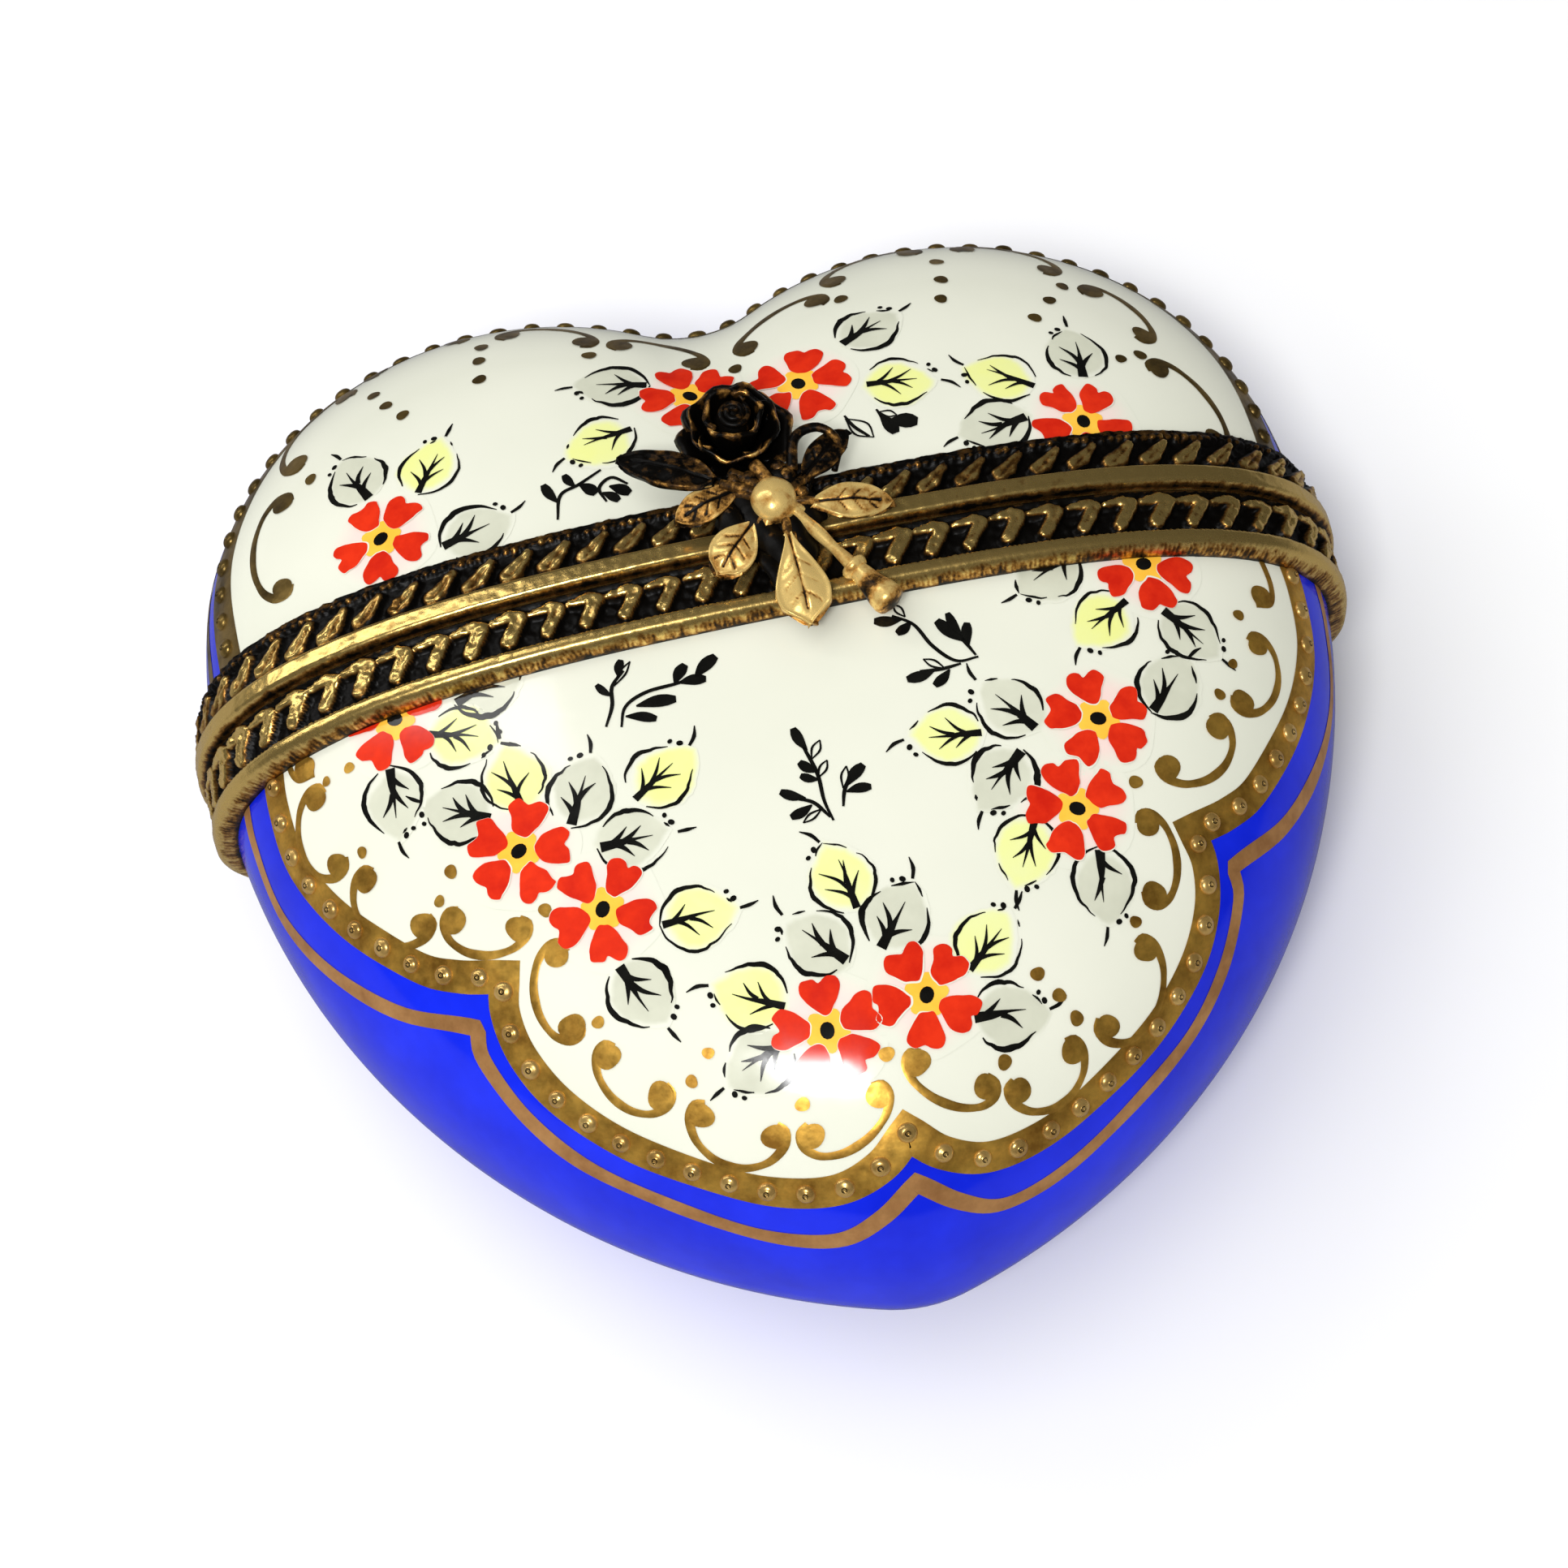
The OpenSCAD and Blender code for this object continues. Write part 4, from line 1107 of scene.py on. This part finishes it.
def cast_rose():
    """Full bloom: three rounds of cupped, rolled petals over a tight heart."""
    layer = Layer()
    base = np.array([-0.3, SEAM_Y + 5.95, MID_Z + FRONT_H + 0.3])
    rounds = [(4, 2.45, 2.0, 0.75, 20, 66), (4, 1.85, 3.0, 0.45, 60, 64), (3, 1.15, 3.5, 0.20, 10, 80)]
    for count, radius, height, curl, start, spread in rounds:
        for k in range(count):
            turn = start + 360 / count * k + rng.uniform(-14, 14)
            t, w = np.meshgrid(np.linspace(0, 1, 18), np.linspace(-1, 1, 17), indexing="ij")
            ang = np.radians(turn + w * spread * (0.45 + 0.55 * np.sin(math.pi * t * 0.62)))
            lobe = 1 - 0.16 * np.abs(w) ** 3 + 0.05 * np.cos(3 * w * math.pi)
            r = radius * (0.30 + 0.70 * np.sin(t * math.pi / 2)) * lobe + curl * t ** 4 * 0.6
            z = height * (t ** 1.25) * (1 - 0.10 * w ** 2) - curl * t ** 6 * 1.4
            z = z + 0.16 * np.sin(5 * w + turn) * t
            g = np.stack([r * np.cos(ang), r * np.sin(ang), z], -1) + base
            slab(layer, g, 0.22, 0.06 + 0.42 * t ** 5 + 0.20 * np.sin(9 * w + 5 * t + 3 * k + count))
    turns = np.linspace(0, 4.2 * math.pi, 60)
    core = np.stack([np.cos(turns) * (0.15 + 0.045 * turns), np.sin(turns) * (0.15 + 0.045 * turns),
                     3.25 - 0.02 * turns], -1) + base
    tube(layer, core, 0.17, 0.30, 8)
    ball = np.linspace(0, math.pi, 10)
    heart = base + np.stack([0 * ball, 0 * ball, 1.6 - 1.6 * np.cos(ball)], -1)
    tube(layer, heart, np.sin(ball) + 0.03, 0.12, 18)
    return layer.build("cast_rose", [CAST], "lid", replaces=("rose_bloom",))


def cast_spray():
    """Lumpy plate that carries the spray, with the stalks that meet under the bud."""
    layer = Layer()
    top = SPRAY_Z
    t, w = np.meshgrid(np.linspace(0, 1, 40), np.linspace(-1, 1, 25), indexing="ij")
    y = SEAM_Y + 3.3 - 6.5 * t
    half = 2.3 * np.sqrt(np.clip(1 - (np.clip(t - 0.62, 0, 1) / 0.39) ** 2, 0.01, 1))
    half = half * (1 + 0.07 * np.sin(19 * t))
    half = half * np.sqrt(np.clip(t / 0.05, 0.05, 1)) * (1 - 0.48 * step(t, 0.40, 0.62))
    x = 0.4 + 0.3 * step(t, 0.40, 0.62) + w * half
    z = top + 0.10 * np.sin(3.1 * x) * np.sin(2.7 * y) + 0.12 * np.cos(5.3 * x + 2 * y) - 0.25 * w ** 4
    tone = 0.14 + 0.26 * np.sin(5 * x + 2 * y) * np.cos(4 * y - x)
    slab(layer, np.stack([x, y, z], -1)[:, ::-1], 0.50, tone)
    hub = np.array([0.7, SEAM_Y + 1.2, top + 0.35])
    for x, y, lift, r in ((-1.6, SEAM_Y + 2.9, 0.5, 0.26), (-1.0, SEAM_Y + 2.2, 0.35, 0.24),
                          (-0.5, SEAM_Y + 0.3, 0.3, 0.24), (0.95, SEAM_Y - 0.9, 0.35, 0.24),
                          (2.9, SEAM_Y + 0.9, 0.35, 0.22), (2.4, SEAM_Y + 2.4, 0.4, 0.24),
                          (0.2, SEAM_Y + 3.6, 0.5, 0.34), (-1.0, SEAM_Y + 3.5, 0.3, 0.30)):
        end = np.array([x, y, top + lift])
        bow = (hub + end) / 2 + [0.15, 0.1, 0.22]
        tube(layer, evenly(smooth_curve([hub, bow, end], 6), 0.2), r, 0.42)
    for x, y, z, r in ((1.6, SEAM_Y + 2.7, 0.35, 0.42), (2.1, SEAM_Y + 1.7, 0.3, 0.34),
                       (-1.5, SEAM_Y + 1.4, 0.2, 0.36), (-0.2, SEAM_Y + 2.9, 0.4, 0.44),
                       (1.3, SEAM_Y + 3.3, 0.3, 0.38), (-0.9, SEAM_Y + 3.0, 0.4, 0.34)):
        a = np.linspace(0, math.pi, 9)
        path = np.array([x, y, top + z]) + np.stack([0 * a, 0 * a, -r * np.cos(a)], -1)
        tube(layer, path, r * np.sin(a) + 0.02, 0.34, 12)
    loop = [(1.9, 3.0), (2.4, 4.6), (3.6, 4.9), (4.4, 4.0), (3.9, 2.6)]
    path = [(x, SEAM_Y + y, top + 0.35 + 0.25 * math.sin(k)) for k, (x, y) in enumerate(loop)]
    line = evenly(smooth_curve(path, 8), 0.2)
    tube(layer, line, np.linspace(0.30, 0.16, len(line)), 0.30)
    return layer.build("cast_spray", [CAST], "lid", replaces=("clasp_tongue",))


def cast_bead():
    """Round bud over the hinge of the clasp, creased once, with three sepals below."""
    layer = Layer()
    c = np.array([0.7, SEAM_Y + 1.4, SPRAY_Z + 0.6])
    around = np.linspace(0, 2 * math.pi, 36, endpoint=False)
    a, b = np.meshgrid(around, np.linspace(0, math.pi, 22), indexing="ij")
    r = 1.12 * (1 - 0.05 * np.exp(-((np.sin(a / 2)) * 6) ** 2)) + 0.02 * np.sin(5 * a) * np.sin(b)
    v = np.stack([r * np.sin(b) * np.cos(a), 1.08 * r * np.sin(b) * np.sin(a), 0.85 * r * np.cos(b)], -1) + c
    tone = 0.66 + 0.22 * np.cos(b) - 0.12 * np.sin(3 * a + 4 * b)
    layer.add(v, grid_faces(36, 22, wrap_u=True, flip=True), tone=tone)
    for deg in (-120, -75, -30):
        s = np.array([math.cos(math.radians(deg)), math.sin(math.radians(deg)), 0])
        path = [c + s * 0.9 - [0, 0, 0.1], c + s * 1.35 - [0, 0, 0.25], c + s * 1.8 - [0, 0, 0.45]]
        tube(layer, smooth_curve(path, 5), np.linspace(0.34, 0.16, 11), 0.7)
    return layer.build("cast_bead", [CAST], "lid", weld=0.001, replaces=("bead",))


def cast_bud():
    """Stalk, collar and slender bud hanging to the lower right."""
    layer = Layer()
    m = turned(-59, 94)
    o = np.array([2.1, SEAM_Y - 0.2, SPRAY_Z + 0.4])

    def at(z):
        return o + np.outer(z, m[:, 2])

    z = np.linspace(-1.6, 3.3, 14)
    tube(layer, at(z), 0.30 + 0.04 * np.sin(3 * z), 0.72)
    z = np.array([2.75, 2.8, 2.92, 3.1, 3.25, 3.3])
    tube(layer, at(z), [0.35, 0.60, 0.68, 0.66, 0.56, 0.35], 0.80)
    z = np.linspace(3.1, 5.7, 18)
    r = np.interp(z, [3.1, 3.5, 4.2, 4.9, 5.3, 5.55, 5.7], [0.46, 0.52, 0.62, 0.80, 0.84, 0.72, 0.35])
    tube(layer, at(z), r, 0.66 + 0.22 * np.sin(4 * z))
    return layer.build("cast_bud", [CAST], "lid", replaces=("bud_stem",))


# ---------------------------------------------------------------- assembly
body_porcelain()
lid_porcelain()
painting("body_painting", BODY_FLOWERS, BODY_LEAVES, BODY_SPRIGS, "body")
painting("lid_painting", LID_FLOWERS, LID_LEAVES, LID_SPRIGS, "lid")
gild_body()
gild_lid()
mount(-1, body_relief, 2.6, "body_mount", "body", "body_rim")
mount(1, lid_relief, 2.0, "lid_mount", "lid", "lid_rim")
cast_rose()
cast_leaf("cast_leaf_left", "leaf_left", -1.9, SEAM_Y + 3.1, 147, 6, 5.0, 2.2, 0.45, 0.34, 0.30)
cast_leaf("cast_leaf_upper", "leaf_upper", -0.8, SEAM_Y + 2.5, 195, 0, 3.4, 1.8, 0.55, 0.55)
cast_leaf("cast_leaf_oval", "leaf_oval", -0.6, SEAM_Y + 0.5, 226, 0, 3.1, 2.3, 0.55, 0.80, tip=0.15)
cast_leaf("cast_leaf_hanging", "leaf_hanging", 0.95, SEAM_Y - 0.5, 271, 5, 4.7, 2.6, 0.66, 0.98, tip=0.20)
cast_leaf("cast_leaf_right", "leaf_right", 2.5, SEAM_Y + 0.9, -8, 4, 3.8, 1.9, 0.5, 0.74)
cast_leaf("cast_leaf_back", "leaf_back", 2.3, SEAM_Y + 2.3, 42, 4, 3.6, 1.6, 0.5, 0.30)
cast_spray()
cast_bead()
cast_bud()
for name in ("body_hinge_leaf", "lid_hinge_leaf", "hinge_pin", "catch_stud"):
    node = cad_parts[name]
    node.data.materials.clear()
    node.data.materials.append(HINGE_BRASS)

# ---------------------------------------------------------------- studio
scene = bpy.context.scene
scene.view_settings.view_transform = "Standard"


def staged_plane(name, size, at, material, look_at=None):
    mesh = bpy.data.meshes.new(name)
    a, b = size[0] / 2, size[1] / 2
    mesh.from_pydata([(-a, -b, 0), (a, -b, 0), (a, b, 0), (-a, b, 0)], [], [(0, 1, 2, 3)])
    mesh.materials.append(material)
    ob = bpy.data.objects.new(name, mesh)
    scene.collection.objects.link(ob)
    ob.location = at
    if look_at is not None:
        ob.rotation_euler = (Vector(look_at) - Vector(at)).to_track_quat("Z", "Y").to_euler()
    return ob


paper = Nodes("white_paper")
sheet = paper.mix(paper.remap(paper.noise(40, 2.0), 0.3, 0.7), (0.93, 0.93, 0.92), (0.95, 0.95, 0.94))
paper.set(Base_Color=sheet, Roughness=0.9)
staged_plane("floor", (3, 3), (0, 0, -0.0005), paper.mat).visible_glossy = False


def only_mirrored(ob):
    """Seen in reflections only."""
    ob.visible_camera = ob.visible_diffuse = ob.visible_shadow = ob.visible_transmission = False


room = Nodes("dim_room")
room.set(Base_Color=(0.24, 0.24, 0.25), Roughness=0.9)
only_mirrored(staged_plane("table_top", (1.6, 1.6), (0, 0, -0.0004), room.mat))
dusk = Nodes("dark_wall")
dusk.set(Base_Color=(0.02, 0.02, 0.02), Roughness=0.9)
for k in range(4):
    c, sn = math.cos(k * math.pi / 2), math.sin(k * math.pi / 2)
    only_mirrored(staged_plane("wall_%d" % k, (1.6, 0.9), (0.8 * c, 0.8 * sn, 0.45), dusk.mat, (0, 0, 0.45)))
only_mirrored(staged_plane("ceiling", (1.6, 1.6), (0, 0, 0.9), dusk.mat, (0, 0, 0)))


def area(name, at, size, watts, look=(0, 0, 0.015), along=(0, 1, 0)):
    lamp = bpy.data.lights.new(name, "AREA")
    lamp.shape = "RECTANGLE"
    lamp.size, lamp.size_y = size
    lamp.energy = watts
    ob = bpy.data.objects.new(name, lamp)
    scene.collection.objects.link(ob)
    z = (Vector(at) - Vector(look)).normalized()
    y = z.cross(Vector(along)).normalized()
    ob.matrix_world = Matrix.Translation(Vector(at)) @ Matrix((y.cross(z), y, z)).transposed().to_4x4()
    return ob


# Eye in mm and axes from the numeric fit.
EYE = np.array([-17.48, -94.60, 204.11])
RIGHT = np.array([0.97515, -0.22095, -0.01596])
UP = np.array([0.20595, 0.87769, 0.43272])
BACK = np.array([-0.0816, -0.42525, 0.90139])


def glint(name, xy, distance, size, watts):
    """Lamp placed so that the glaze mirrors it to the camera at a plan point."""
    p, n = snap(on_face(np.array(xy, float)))
    view = unit(EYE - p)
    way = 2 * (n @ view) * n - view
    return area(name, (p + way * distance) * MM, (size * MM, size * MM), watts, p * MM)


area("key", (-0.30, -0.10, 0.75), (0.6, 0.7), 2.6).visible_glossy = False
area("panel", (-0.235, 0.19, 0.27), (0.40, 0.06), 0.30, along=(-0.29, 0, -0.265))
glint("flash", (-3.2, -20.0), 450, 80, 0.98)
world = bpy.data.worlds.new("studio")
scene.world = world
world.use_nodes = True
sky = world.node_tree.nodes["Background"]
sky.inputs["Color"].default_value = (1.0, 1.0, 0.99, 1)
sky.inputs["Strength"].default_value = 0.42

camera = bpy.data.cameras.new("camera")
camera.lens, camera.sensor_width = 99.0, 36.0
camera.shift_x, camera.shift_y = -0.0207, 0.0421
camera.clip_start = 0.01
eye = bpy.data.objects.new("camera", camera)
scene.collection.objects.link(eye)
pose = Matrix.Identity(4)
for k, axis in enumerate((RIGHT, UP, BACK)):
    for j in range(3):
        pose[j][k] = float(axis[j])
for j in range(3):
    pose[j][3] = float(EYE[j] * MM)
eye.matrix_world = pose
scene.camera = eye
